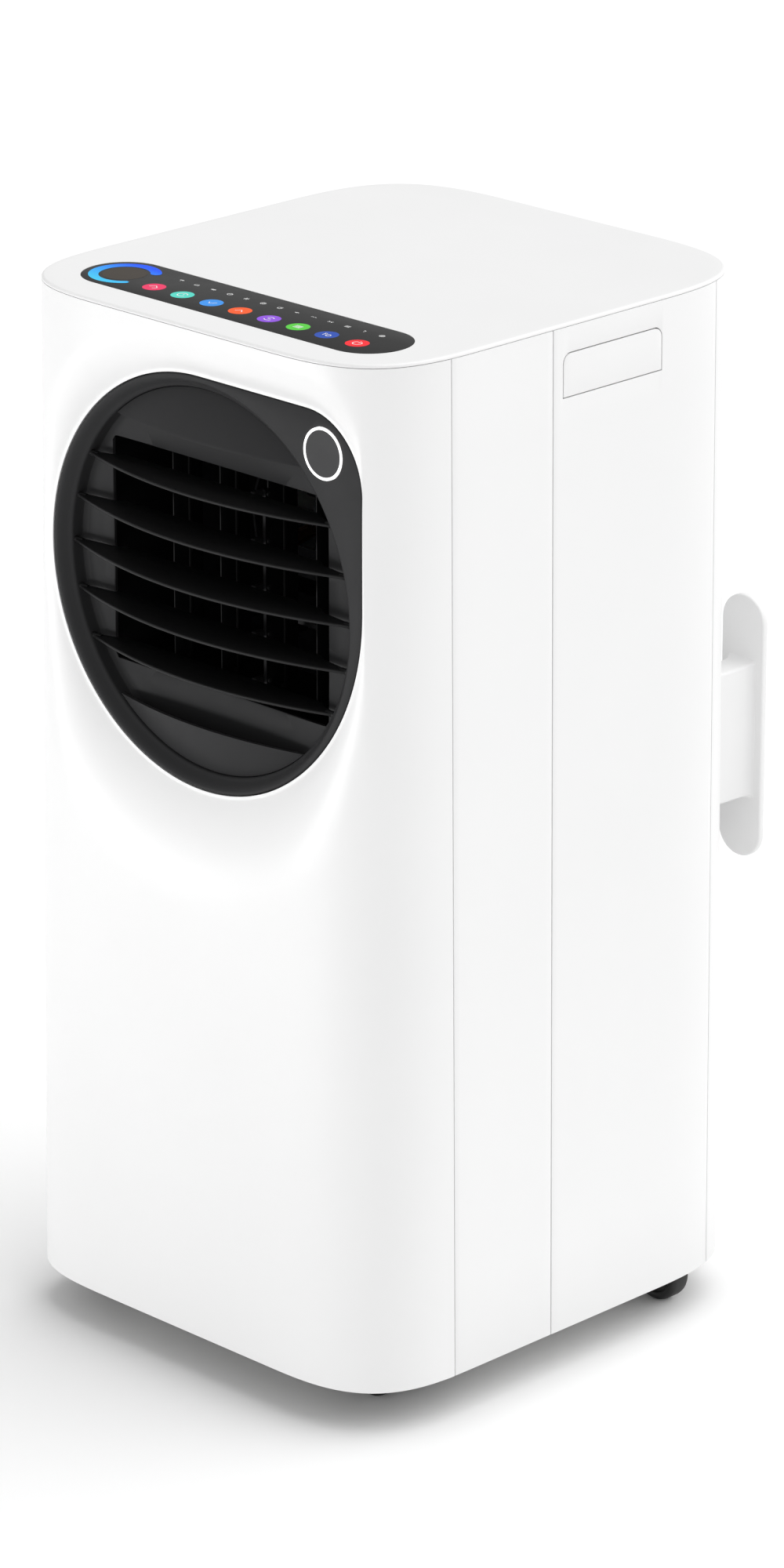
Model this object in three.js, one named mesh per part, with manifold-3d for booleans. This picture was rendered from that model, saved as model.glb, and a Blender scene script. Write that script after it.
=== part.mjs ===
// Portable air conditioner on casters, modelled as separate pieces in millimetres, +Z up.
// The origin lies on the floor, at the middle of the overall length and width.
import * as THREE from "three";
import { mergeVertices } from "three/addons/utils/BufferGeometryUtils.js";
import Module from "manifold-3d";

const wasm = await Module();
wasm.setup();

// ---- Driving dimensions -------------------------------------------------------------------------

const clearance = 0.4; // between neighbouring fixed pieces
const seamGap = 0.6; // open joint between two casing panels
const runningGap = 0.4; // radial gap round a pin that turns

const casing = {
  floorGap: 30,
  height: 690,
  topHalfWidth: 170.3,
  topFront: 182.6,
  topRear: 182.6,
  flareSide: 6, // how much wider each side is at the base than at the top
  flareFront: 6.7,
  flareRear: 1.7,
  frontCorner: 103,
  rearCorner: 115,
  cornerPower: 3.33, // 2 would be a round corner, more is squarer
  cornerSteps: 6,
  wall: 3,
};
const baseZ = casing.floorGap;
const topZ = baseZ + casing.height;

const seams = { frontPanel: -113.3, strip: -22.9, rearPanel: 136 };
const lid = { bevel: 1.7, edge: 2.2, skirt: 12, thickness: 6, skirtWall: 2.5 };
const glass = { halfLength: casing.topHalfWidth - 30.6, radius: 28.4, y: -126.9, thickness: 2 };
const board = { length: 220, width: 44, thickness: 1.6, drop: 14 };

const outlet = {
  z: baseZ + 514.3,
  plane: -168.5, // front face of the bezel
  rim: 10.5, // from the bore to the bezel's round edge
  rightReach: 8, // the straight right-hand edge lies this far beyond the round edge
  corner: 48,
  blendExtra: 16.5, // on the radius that leads from the right-hand edge back into the circle
  plate: 3,
  lipDepth: 6.5,
  lipWidth: 8.5,
  bore: 128,
  wall: 6,
  depth: 17.5, // bezel face to back plate
  ductCorner: 3.27, // from the duct's corners to the bore
  ductHalfHeight: 75.8,
  ductWall: 2.2,
  ductEnd: -84,
  backPlate: 2.5,
};
outlet.radius = outlet.bore + outlet.rim;
outlet.right = outlet.radius + outlet.rightReach;
outlet.blend = outlet.radius + outlet.blendExtra;
outlet.ductHalfWidth = Math.sqrt((outlet.bore - outlet.ductCorner) ** 2 - outlet.ductHalfHeight ** 2);
const dome = { radius: 340, proud: 16, slotHalf: 95.3 };
const vane = {
  count: 5,
  pitch: 31.15,
  thickness: 2.2,
  pivotY: -158,
  pinRadius: 2,
  pinReach: 2.4,
  endGap: 1.2,
  rearY: -148,
  tabLength: 8,
};
const vaneLink = { x: 29, width: 5, thickness: 2.5, pinRadius: 1.5, end: 3 };
const deflector = {
  count: 4,
  pitch: outlet.ductHalfWidth / 2.25,
  pivotY: -115,
  frontReach: 14,
  rearReach: 12,
  thickness: 2,
  height: 146,
  pinRadius: 2,
  tabReach: 18.5,
};
const tieBar = { drop: 36, thickness: 3, width: 6, pinRadius: 1.5, end: 4 };
const statusLens = { x: outlet.right - 34.2, rise: outlet.radius - 26.7, radius: 17.5, thickness: 2.2 };
const dish = [
  // depth in front of the bezel plane, growth beyond the bezel, downward shift
  { depth: -8, grow: 0, drop: 0 },
  { depth: 0, grow: 0, drop: 0 },
  { depth: 0.5, grow: 3, drop: 0 },
  { depth: 7.5, grow: 10, drop: 3 },
  { depth: 15.5, grow: 26, drop: 8 },
  { depth: 25, grow: 58, drop: 22 },
];

const handle = { y: 31.9, length: 92, height: 29.5, z: baseZ + 655.8, corner: 7 };
// The margin is the room round the flap behind the panel.
const cup = { depth: 28.5, wall: 2.2, margin: 0.8 };
const flap = {
  gap: 0.8,
  thickness: 2.4,
  hingeDrop: 3.8, // below the top of the opening
  hingeDepth: 5.8, // behind the face of the side panel
  pinRadius: 1.5,
  lug: 5,
};

const caster = {
  x: casing.topHalfWidth - 43.3,
  y: 122,
  wellRadius: 40,
  trail: 14.5,
  wheelRadius: 20,
  wheelWidth: 16,
  crownGap: 6, // over the wheel
  axleRadius: 3,
  pintleRadius: 5,
  pintleLength: 8,
  plateRadius: 17,
  plateThickness: 6,
  legThickness: 2.5,
  legGap: 1.2,
};
caster.plateBottom = 2 * caster.wheelRadius + caster.crownGap;
caster.plateTop = caster.plateBottom + caster.plateThickness;
caster.wellTop = caster.plateTop + 2;
caster.pintleTop = caster.plateTop + caster.pintleLength;
const pan = {
  bottom: baseZ + 3,
  top: caster.pintleTop + 2,
  sumpHalfWidth: caster.x - 49,
  sumpHalfLength: 150,
  sumpFloor: 46,
};

const deck = { bottom: 446, thickness: 4, inset: 6 };
const blower = {
  y: 25,
  wheelRadius: 62,
  wheelHalf: outlet.ductHalfWidth - 11,
  blades: 10,
  wall: 2.5,
  inlet: 50,
  shaft: 4,
};
const blowerMotor = { radius: 34, from: outlet.ductHalfWidth + 13, to: outlet.ductHalfWidth + 51, arm: 8 };
const coil = { halfWidth: casing.topHalfWidth - 32.3, thickness: 30, plate: 3, bendRadius: 14, tube: 4 };
const evaporator = { y: 134, bottom: 468, top: 688, bends: 3 };
const condenser = { y: 140, bottom: pan.top + 12, top: 292, bends: 3 };
const tray = { front: 110, rear: 158, bottom: 451, height: 13, wall: 2 };

const exhaustFan = {
  x: 50,
  z: 185,
  front: 45,
  rear: 112,
  wheelRadius: 66,
  blades: 10,
  tongue: 79,
  spread: 105,
  outletTop: 300,
  inlet: 56,
  wall: 2.5,
  shaft: 4,
};
const exhaustMotor = { radius: 38, from: 4, to: 40 };
const exhaustPort = { x: -30, bore: 60, wall: 2.5, bendZ: 303, endY: 166, bendY: 150 };
const collar = { wall: 6, flange: 78, flangeThickness: 3, reach: 196, from: 168 };

const compressor = {
  x: 85.3 - casing.topHalfWidth,
  y: -70,
  radius: 55,
  bottom: pan.top + 12,
  top: 240,
  dome: 18,
};
const accumulator = { dx: 83, dy: -15, radius: 21, bottom: 95, top: 230 };
const pipeRadius = 5;
const electrics = { x: casing.topHalfWidth - 86.3, y: -112, width: 118, depth: 52, bottom: 252, top: 400 };
const capacitor = { radius: 19, height: 70 };

const filterOpening = { x0: -120, x1: 120, z0: 482, z1: 690 };
const intakeOpening = { x0: -120, x1: 90, z0: 92, z1: 284 };
const filterFrame = { y: 166, thickness: 5, border: 8, mesh: 1 };
const grilleBars = { pitch: 19, slot: 11, border: 10, bays: 2, rib: 6 };

const winder = {
  x: casing.topHalfWidth - 48.3,
  z: baseZ + 354,
  stemHalfWidth: 10,
  stemHalfHeight: 46.5,
  plateRadius: 18.5,
  plateHalfHeight: 93,
  plateY: 215,
  plateThickness: 5,
};
const gland = { x: 80, z: intakeOpening.z1 + 28, radius: 9, reach: 12, bore: 4.5 };
const drain = { x: -100, z: pan.top + 13, radius: 11, stem: 6, reach: 9, stemLength: 12 };

// ---- Geometry helpers ---------------------------------------------------------------------------

// A closed three.js geometry as a solid that can be joined and cut.
const toSolid = (geometry) => {
  const bare = geometry.clone();
  bare.deleteAttribute("normal");
  bare.deleteAttribute("uv");
  const merged = mergeVertices(bare, 1e-4);
  const mesh = new wasm.Mesh({
    numProp: 3,
    vertProperties: Float32Array.from(merged.attributes.position.array),
    triVerts: Uint32Array.from(merged.index.array),
  });
  return new wasm.Manifold(mesh);
};

const toGeometry = (solid) => {
  const mesh = solid.getMesh();
  const corners = new Float32Array(mesh.numVert * 3);
  for (let i = 0; i < mesh.numVert; i++) {
    corners.set(mesh.vertProperties.subarray(i * mesh.numProp, i * mesh.numProp + 3), i * 3);
  }
  const geometry = new THREE.BufferGeometry();
  geometry.setAttribute("position", new THREE.BufferAttribute(corners, 3));
  geometry.setIndex(new THREE.BufferAttribute(Uint32Array.from(mesh.triVerts), 1));
  return geometry;
};

const join = (...pieces) => pieces.flat().reduce((sum, piece) => sum.add(piece));
const cut = (body, ...tools) => tools.flat().reduce((rest, tool) => rest.subtract(tool), body);

// The main body of a solid, without any crumbs that a cut leaves beside it.
const largest = (solid) => solid.decompose().sort((a, b) => b.volume() - a.volume())[0];

// A block from its lowest corner to its highest.
const block = (x0, y0, z0, x1, y1, z1) => {
  const geometry = new THREE.BoxGeometry(x1 - x0, y1 - y0, z1 - z0);
  geometry.translate((x0 + x1) / 2, (y0 + y1) / 2, (z0 + z1) / 2);
  return toSolid(geometry);
};

// A round bar between two points.
const rod = (from, to, radius, sides = 16, endRadius = radius) => {
  const start = new THREE.Vector3(...from);
  const along = new THREE.Vector3(...to).sub(start);
  const geometry = new THREE.CylinderGeometry(endRadius, radius, along.length(), sides);
  geometry.translate(0, along.length() / 2, 0);
  const turn = new THREE.Quaternion().setFromUnitVectors(new THREE.Vector3(0, 1, 0), along.normalize());
  geometry.applyQuaternion(turn);
  geometry.translate(...from);
  return toSolid(geometry);
};

const bases = {
  x: [new THREE.Vector3(0, 1, 0), new THREE.Vector3(0, 0, 1), new THREE.Vector3(1, 0, 0)],
  y: [new THREE.Vector3(-1, 0, 0), new THREE.Vector3(0, 0, 1), new THREE.Vector3(0, 1, 0)],
  z: [new THREE.Vector3(1, 0, 0), new THREE.Vector3(0, 1, 0), new THREE.Vector3(0, 0, 1)],
};

// A prism along an axis. The points are (y, z) along x, (x, z) along y and (x, y) along z.
const prism = (axis, points, from, to) => {
  const flat = points.map(([a, b]) => new THREE.Vector2(axis === "y" ? -a : a, b));
  if (THREE.ShapeUtils.isClockWise(flat)) flat.reverse();
  const geometry = new THREE.ExtrudeGeometry(new THREE.Shape(flat), {
    depth: to - from,
    bevelEnabled: false,
    steps: 1,
  });
  geometry.translate(0, 0, from);
  geometry.applyMatrix4(new THREE.Matrix4().makeBasis(...bases[axis]));
  return toSolid(geometry);
};

// A closed solid through rings of points that lie in parallel or gently turning planes.
const loft = (rings) => {
  const count = rings[0].length;
  const corners = rings.flat();
  const faces = [];
  for (let r = 0; r + 1 < rings.length; r++) {
    for (let i = 0; i < count; i++) {
      const a = r * count + i;
      const b = r * count + ((i + 1) % count);
      faces.push(a, b, b + count, a, b + count, a + count);
    }
  }
  const capped = (ring, offset, flip) => {
    const normal = new THREE.Vector3();
    ring.forEach((p, i) => normal.add(new THREE.Vector3().crossVectors(p, ring[(i + 1) % count])));
    normal.normalize();
    const across = new THREE.Vector3().subVectors(ring[1], ring[0]).normalize();
    const up = new THREE.Vector3().crossVectors(normal, across);
    const flat = ring.map((p) => new THREE.Vector2(p.dot(across), p.dot(up)));
    for (const [a, b, c] of THREE.ShapeUtils.triangulateShape(flat, [])) {
      faces.push(offset + a, offset + (flip ? c : b), offset + (flip ? b : c));
    }
  };
  capped(rings[0], 0, true);
  capped(rings[rings.length - 1], (rings.length - 1) * count, false);
  const geometry = new THREE.BufferGeometry().setFromPoints(corners);
  geometry.setIndex(faces);
  return toSolid(geometry);
};

// A ring or disc turned about an axis through a centre. The profile holds (radius, height) pairs.
const turned = (axis, centre, profile, sides = 32) => {
  const points = profile.map(([r, h]) => new THREE.Vector2(r, h));
  if (profile.every(([r]) => r > 0)) points.push(points[0].clone());
  const geometry = new THREE.LatheGeometry(points, sides);
  if (axis === "x") geometry.rotateZ(-Math.PI / 2);
  if (axis === "z") geometry.rotateX(Math.PI / 2);
  geometry.translate(...centre);
  return toSolid(geometry);
};

const onCircle = (x, y, radius, degrees) => {
  const angle = THREE.MathUtils.degToRad(degrees);
  return [x + radius * Math.cos(angle), y + radius * Math.sin(angle)];
};

const arc = (x, y, radius, from, to, steps) =>
  Array.from({ length: steps + 1 }, (_, i) => onCircle(x, y, radius, from + ((to - from) * i) / steps));

// A wall of even thickness that follows a line of points.
const ribbon = (points, thickness) => {
  const sides = [-1, 1].map((side) =>
    points.map(([a, b], i) => {
      const [pa, pb] = points[Math.max(i - 1, 0)];
      const [na, nb] = points[Math.min(i + 1, points.length - 1)];
      const length = Math.hypot(na - pa, nb - pb);
      const shift = (side * thickness) / 2 / length;
      return [a - (nb - pb) * shift, b + (na - pa) * shift];
    }),
  );
  return [...sides[0], ...sides[1].reverse()];
};

// A round pipe along a smooth curve through chosen points.
const pipe = (points, radius, steps) => {
  const curve = new THREE.CatmullRomCurve3(points.map((p) => new THREE.Vector3(...p)), false, "centripetal");
  const section = new THREE.Shape(arc(0, 0, radius, 0, 300, 5).map(([a, b]) => new THREE.Vector2(a, b)));
  return toSolid(new THREE.ExtrudeGeometry(section, { extrudePath: curve, steps }));
};

// ---- Outline of the casing ----------------------------------------------------------------------

const rounded = (centreX, centreY, radius, quadrant) => {
  const power = 2 / casing.cornerPower;
  return Array.from({ length: casing.cornerSteps + 1 }, (_, i) => {
    const angle = (quadrant + i / casing.cornerSteps) * (Math.PI / 2);
    const c = Math.cos(angle);
    const s = Math.sin(angle);
    const grow = (v) => (Math.abs(v) < 1e-9 ? 0 : Math.sign(v) * Math.abs(v) ** power);
    return [centreX + radius * grow(c), centreY + radius * grow(s)];
  });
};

const casingSize = (z) => {
  const down = (topZ - z) / casing.height;
  return {
    side: casing.topHalfWidth + casing.flareSide * down,
    front: casing.topFront + casing.flareFront * down,
    rear: casing.topRear + casing.flareRear * down,
  };
};

const casingOutline = (z, inset = 0) => {
  const { side, front, rear } = casingSize(z);
  const { frontCorner, rearCorner } = casing;
  const corner = (x, y, radius, quadrant) => rounded(x, y, radius - inset, quadrant);
  return [
    ...corner(side - rearCorner, rear - rearCorner, rearCorner, 0),
    ...corner(rearCorner - side, rear - rearCorner, rearCorner, 1),
    ...corner(frontCorner - side, frontCorner - front, frontCorner, 2),
    ...corner(side - frontCorner, frontCorner - front, frontCorner, 3),
  ].map(([x, y]) => new THREE.Vector3(x, y, z));
};

const casingBlock = (z0, z1, inset0 = 0, inset1 = inset0) =>
  loft([casingOutline(z0, inset0), casingOutline(z1, inset1)]);

const panelTop = topZ - lid.edge - clearance;
const outerForm = casingBlock(baseZ, panelTop);
const innerForm = casingBlock(baseZ - 1, panelTop + 1, casing.wall);
const skin = cut(outerForm, innerForm);

const wide = 400; // beyond the casing in every direction
const slab = (y0, y1) => block(-wide, y0, baseZ - 5, wide, y1, topZ + 5);

// ---- Outline of the bezel -----------------------------------------------------------------------

// The bezel is a circle whose upper right is filled out to a rounded corner. All of its arcs keep
// their centres when it grows, so grown copies run parallel to it.
const bezelOutline = (grow = 0, drop = 0) => {
  const { radius, right, corner, blend } = outlet;
  const z = outlet.z - drop;
  const blendX = right - blend;
  const blendRise = Math.sqrt((blend - radius) ** 2 - blendX ** 2);
  const meet = THREE.MathUtils.radToDeg(Math.atan2(-blendRise, -blendX));
  return [
    ...arc(right - corner, z + radius - corner, corner + grow, 0, 90, 6),
    ...arc(0, z, radius + grow, 90, 360 + meet, 30),
    ...arc(blendX, z + blendRise, blend + grow, meet, 0, 4).slice(1),
  ];
};

const dishForm = (thickness) => {
  return loft(
    dish.map(({ depth, grow, drop }) =>
      bezelOutline(grow + thickness, drop).map(
        ([x, z]) => new THREE.Vector3(x, outlet.plane - depth + thickness, z),
      ),
    ),
  );
};

// ---- Casing -------------------------------------------------------------------------------------

const frontForm = slab(-wide, seams.frontPanel - seamGap / 2);
const dishCut = dishForm(0);
const dishLining = dishForm(casing.wall);
const bezelHole = prism("y", bezelOutline(0), -wide, outlet.plane + 40);
const frontPanel = largest(
  cut(outerForm.intersect(frontForm), dishCut, cut(innerForm, dishLining), bezelHole),
);

const sideStrip = (side) => {
  const band = slab(seams.frontPanel + seamGap / 2, seams.strip - seamGap / 2);
  const half = side > 0 ? block(0, -wide, 0, wide, wide, topZ) : block(-wide, -wide, 0, 0, wide, topZ);
  return skin.intersect(band).intersect(half);
};

const handleOutline = (grow) => {
  const halfLength = handle.length / 2 + grow;
  const halfHeight = handle.height / 2 + grow;
  const corner = handle.corner + grow;
  return [
    [handle.y - halfLength, handle.z - halfHeight],
    [handle.y + halfLength, handle.z - halfHeight],
    ...arc(handle.y + halfLength - corner, handle.z + halfHeight - corner, corner, 0, 90, 4),
    ...arc(handle.y - halfLength + corner, handle.z + halfHeight - corner, corner, 90, 180, 4),
  ];
};

const sidePanel = (side) => {
  const band = slab(seams.strip + seamGap / 2, seams.rearPanel - seamGap / 2);
  const half = side > 0 ? block(0, -wide, 0, wide, wide, topZ) : block(-wide, -wide, 0, 0, wide, topZ);
  const [from, to] = side > 0 ? [100, wide] : [-wide, -100];
  return cut(skin.intersect(band).intersect(half), prism("x", handleOutline(0), from, to));
};

// A cup behind each side opening gives room for the fingers.
const handleFace = casingSize(handle.z).side;
const hingeX = handleFace - flap.hingeDepth;
const hingeZ = handle.z + handle.height / 2 - flap.hingeDrop;
const hingeReach = handle.length / 2 + cup.margin + cup.wall;

const hingeRod = (radius, reach) =>
  rod([hingeX, handle.y - reach, hingeZ], [hingeX, handle.y + reach, hingeZ], radius, 12);

const handleCup = (side) => {
  const inner = handleFace - cup.depth;
  const inside = casingBlock(baseZ, panelTop, casing.wall + clearance);
  const shell = prism("x", handleOutline(cup.margin + cup.wall), inner, wide).intersect(inside);
  const hollow = prism("x", handleOutline(cup.margin), inner + cup.wall, wide);
  const piece = cut(shell, hollow, hingeRod(flap.pinRadius + runningGap, hingeReach + 1));
  return side > 0 ? piece : piece.mirror([1, 0, 0]);
};

// The flap closes the opening flush with the panel. It hangs on two pins and is pushed inwards.
const handleFlap = (side) => {
  const band = cut(outerForm, casingBlock(baseZ - 1, panelTop + 1, flap.thickness));
  const silhouette = prism("x", handleOutline(-flap.gap), hingeX - 20, wide);
  const plate = silhouette.intersect(band);
  const end = handle.length / 2 - flap.gap;
  const ends = [-1, 1].map((way) => {
    const outer = handle.y + way * end;
    const inner = handle.y + way * (end - flap.lug);
    const front = handleFace - flap.thickness + 0.8;
    return [
      block(
        hingeX - 2.5,
        Math.min(inner, outer),
        hingeZ - 2.5,
        front,
        Math.max(inner, outer),
        hingeZ + 2.2,
      ).intersect(silhouette),
      rod([hingeX, inner, hingeZ], [hingeX, handle.y + way * (hingeReach - 0.4), hingeZ], flap.pinRadius, 10),
    ];
  });
  const piece = join(plate, ends.flat());
  return side > 0 ? piece : piece.mirror([1, 0, 0]);
};

const openingBlock = ({ x0, x1, z0, z1 }, grow) =>
  block(x0 - grow, 100, z0 - grow, x1 + grow, wide, z1 + grow);

const rearPanel = () => {
  const portZ = exhaustPort.bendZ + exhaustPort.bendY - (exhaustFan.front + exhaustFan.rear) / 2;
  return cut(
    skin.intersect(slab(seams.rearPanel + seamGap / 2, wide)),
    openingBlock(filterOpening, clearance),
    openingBlock(intakeOpening, clearance),
    rod(
      [exhaustPort.x, 100, portZ],
      [exhaustPort.x, wide, portZ],
      exhaustPort.bore + collar.wall + clearance,
      36,
    ),
    rod([gland.x, 100, gland.z], [gland.x, wide, gland.z], gland.radius - 2 + clearance),
    rod([drain.x, 100, drain.z], [drain.x, wide, drain.z], drain.stem + clearance),
  );
};

// The lid closes the casing. Its bevelled edge rests over the panels and its skirt drops inside them.
const topCover = () => {
  const edgeZ = topZ - lid.edge;
  const plate = loft([
    casingOutline(edgeZ),
    casingOutline(topZ - lid.bevel),
    casingOutline(topZ, lid.bevel),
  ]);
  const seat = casing.wall + clearance;
  const under = casingBlock(topZ - lid.thickness, edgeZ + 0.1, seat);
  const skirt = cut(
    casingBlock(topZ - lid.skirt, edgeZ - 1, seat),
    casingBlock(topZ - lid.skirt - 1, edgeZ, seat + lid.skirtWall),
  );
  const pocket = prism("z", stadium(clearance / 2), topZ - glass.thickness - clearance, topZ + 1);
  return cut(join(plate, under, skirt), pocket);
};

const stadium = (grow) => {
  const reach = glass.halfLength - glass.radius;
  const radius = glass.radius + grow;
  return [...arc(reach, glass.y, radius, -90, 90, 14), ...arc(-reach, glass.y, radius, 90, 270, 14)];
};

const controlBoard = () => {
  const z = topZ - board.drop;
  const y0 = glass.y - board.width / 2;
  const plate = block(-board.length / 2, y0, z, board.length / 2, y0 + board.width, z + board.thickness);
  const chips = [-84, -38, 8, 62].map((x) =>
    block(x, glass.y - 9, z - 3, x + 16, glass.y + 9, z + 0.1),
  );
  return join(plate, chips);
};

// ---- Air outlet ---------------------------------------------------------------------------------

const outletBack = outlet.plane + outlet.depth;
const boreAt = (rise) => Math.sqrt(outlet.bore ** 2 - rise ** 2);
const vaneRise = (i) => ((vane.count - 1) / 2 - i) * vane.pitch;

const ductWindow = (grow, from, to) => {
  const w = outlet.ductHalfWidth + grow;
  const h = outlet.ductHalfHeight + grow;
  return block(-w, from, outlet.z - h, w, to, outlet.z + h);
};

// The bezel, the round well behind it and the well's back plate are one moulding.
const bezel = () => {
  const plate = prism("y", bezelOutline(-clearance), outlet.plane, outlet.plane + outlet.plate);
  const well = arc(0, outlet.z, outlet.bore + outlet.wall, 0, 350, 35);
  const sleeve = prism("y", well, outlet.plane + 1, outletBack + outlet.backPlate);
  const mouth = turned(
    "y",
    [0, outlet.plane, outlet.z],
    [
      [0, -5],
      [outlet.radius - 0.8, -5],
      [outlet.radius - 0.8, 0],
      [outlet.radius - 0.6 * outlet.lipWidth, outlet.lipDepth * 0.3],
      [outlet.bore, outlet.lipDepth],
      [outlet.bore, outlet.depth],
      [0, outlet.depth],
    ],
    48,
  );
  const lens = rod(
    [statusLens.x, outlet.plane - 5, outlet.z + statusLens.rise],
    [statusLens.x, outlet.plane + 10, outlet.z + statusLens.rise],
    statusLens.radius + clearance / 2,
    32,
  );
  const ledge = cut(
    rod(
      [statusLens.x, outlet.plane + outlet.plate - 0.5, outlet.z + statusLens.rise],
      [statusLens.x, outlet.plane + outlet.plate + 1.5, outlet.z + statusLens.rise],
      statusLens.radius + 3,
      32,
    ),
    rod(
      [statusLens.x, outlet.plane, outlet.z + statusLens.rise],
      [statusLens.x, outlet.plane + 10, outlet.z + statusLens.rise],
      statusLens.radius - 2,
      32,
    ),
  );
  const sockets = Array.from({ length: vane.count }, (_, i) => {
    const reach = boreAt(vaneRise(i)) + vane.pinReach + 0.6;
    const z = outlet.z + vaneRise(i);
    return rod([-reach, vane.pivotY, z], [reach, vane.pivotY, z], vane.pinRadius + runningGap, 10);
  });
  const body = cut(join(plate, sleeve), mouth, lens, ductWindow(0, outletBack - 5, outletBack + 10));
  return cut(join(body, cut(ledge, mouth)), sockets);
};

const statusLensPiece = () =>
  rod(
    [statusLens.x, outlet.plane, outlet.z + statusLens.rise],
    [statusLens.x, outlet.plane + statusLens.thickness, outlet.z + statusLens.rise],
    statusLens.radius - clearance / 2,
    32,
  );


const domeCentre = outlet.plane - dome.proud + dome.radius;
const domeY = (distance) => domeCentre - Math.sqrt(dome.radius ** 2 - distance ** 2);

// The lids above and below the vanes are parts of one shallow dome.
const eyelid = (side) => {
  const rim = outlet.bore - clearance;
  const back = outletBack - clearance;
  const steps = 5;
  const profile = Array.from({ length: steps + 1 }, (_, i) => {
    const r = (rim * i) / steps;
    return [r, domeY(r) - outlet.plane];
  });
  const cap = turned(
    "y",
    [0, outlet.plane, outlet.z],
    [...profile, [rim, back - outlet.plane], [0, back - outlet.plane]],
    48,
  );
  const from = outlet.z + side * dome.slotHalf;
  const to = outlet.z + side * wide;
  const keep = block(-wide, -wide, Math.min(from, to), wide, 0, Math.max(from, to));
  const hollowFrom = outlet.z + side * (dome.slotHalf + 3);
  const hollow = turned(
    "y",
    [0, outlet.plane + 3, outlet.z],
    [...profile.map(([r, h]) => [r * 0.97, h]), [rim * 0.97, 60], [0, 60]],
    48,
  ).intersect(block(-wide, -wide, Math.min(hollowFrom, to), wide, 0, Math.max(hollowFrom, to)));
  return cut(cap.intersect(keep), hollow);
};

const outletDuct = () => {
  const from = outletBack + outlet.backPlate + clearance;
  const tube = cut(
    ductWindow(outlet.ductWall, from, outlet.ductEnd - clearance),
    ductWindow(0, from - 5, outlet.ductEnd + 5),
  );
  const pivots = Array.from({ length: deflector.count }, (_, i) => {
    const x = deflectorX(i);
    return rod(
      [x, deflector.pivotY, outlet.z - outlet.ductHalfHeight - 5],
      [x, deflector.pivotY, outlet.z + outlet.ductHalfHeight + 5],
      deflector.pinRadius + runningGap,
      10,
    );
  });
  return cut(tube, pivots);
};

const vanePiece = (i) => {
  const rise = vaneRise(i);
  const half = boreAt(rise) - vane.endGap;
  const front = Array.from({ length: 11 }, (_, k) => {
    const x = half * (1 - k / 5);
    return [x, domeY(Math.hypot(x, rise))];
  });
  const outline = [
    ...front,
    [-half, vane.pivotY + 1.5],
    [-outlet.ductHalfWidth + 2, outletBack - 1.5],
    [-outlet.ductHalfWidth + 9, vane.rearY],
    [outlet.ductHalfWidth - 9, vane.rearY],
    [outlet.ductHalfWidth - 2, outletBack - 1.5],
    [half, vane.pivotY + 1.5],
  ];
  const blade = prism("z", outline, -vane.thickness / 2, vane.thickness / 2);
  const reach = boreAt(rise) + vane.pinReach;
  const pins = [-1, 1].map((side) =>
    rod([side * (half - 6), vane.pivotY, 0], [side * reach, vane.pivotY, 0], vane.pinRadius, 10),
  );
  const tabEnd = vane.rearY + vane.tabLength;
  const tab = block(vaneLink.x - 2, vane.rearY - 1, -2, vaneLink.x + 2, tabEnd + 2, 2);
  const crank = rod(
    [vaneLink.x, tabEnd, 0],
    [vaneLink.x + 2 + clearance + vaneLink.thickness + 1, tabEnd, 0],
    vaneLink.pinRadius,
    8,
  );
  return join(blade, pins, tab, crank).translate([0, 0, outlet.z + rise]);
};

const vaneLinkPiece = () => {
  const y = vane.rearY + vane.tabLength;
  const x0 = vaneLink.x + 2 + clearance;
  const x1 = x0 + vaneLink.thickness;
  const half = vaneRise(0) + vaneLink.end;
  const bar = block(x0, y - vaneLink.width / 2, outlet.z - half, x1, y + vaneLink.width / 2, outlet.z + half);
  const holes = Array.from({ length: vane.count }, (_, i) => {
    const z = outlet.z + vaneRise(i);
    return rod([x0 - 2, y, z], [x1 + 2, y, z], vaneLink.pinRadius + 0.3, 10);
  });
  return cut(bar, holes);
};

const deflectorX = (i) => (i - (deflector.count - 1) / 2) * deflector.pitch;

const deflectorPiece = (i) => {
  const x = deflectorX(i);
  const y = deflector.pivotY;
  const half = deflector.height / 2;
  const t = deflector.thickness / 2;
  const blade = block(
    x - t,
    y - deflector.frontReach,
    outlet.z - half,
    x + t,
    y + deflector.rearReach,
    outlet.z + half,
  );
  const reach = outlet.ductHalfHeight + outlet.ductWall;
  const pin = rod([x, y, outlet.z - reach], [x, y, outlet.z + reach], deflector.pinRadius, 10);
  const tabZ = outlet.z - tieBar.drop - tieBar.thickness / 2 - clearance;
  const tab = block(x - t, y, tabZ - 4, x + t, y + deflector.tabReach + 2, tabZ);
  const crank = rod(
    [x, y + deflector.tabReach, tabZ - 2],
    [x, y + deflector.tabReach, tabZ + clearance + tieBar.thickness + 1],
    tieBar.pinRadius,
    8,
  );
  return join(blade, pin, tab, crank);
};

const tieBarPiece = () => {
  const y = deflector.pivotY + deflector.tabReach;
  const z0 = outlet.z - tieBar.drop - tieBar.thickness / 2;
  const half = deflectorX(deflector.count - 1) + tieBar.end;
  const bar = block(-half, y - tieBar.width / 2, z0, half, y + tieBar.width / 2, z0 + tieBar.thickness);
  const holes = Array.from({ length: deflector.count }, (_, i) =>
    rod([deflectorX(i), y, z0 - 2], [deflectorX(i), y, z0 + 6], tieBar.pinRadius + 0.3, 10),
  );
  return cut(bar, holes);
};

// ---- Upper air path -----------------------------------------------------------------------------

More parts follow.
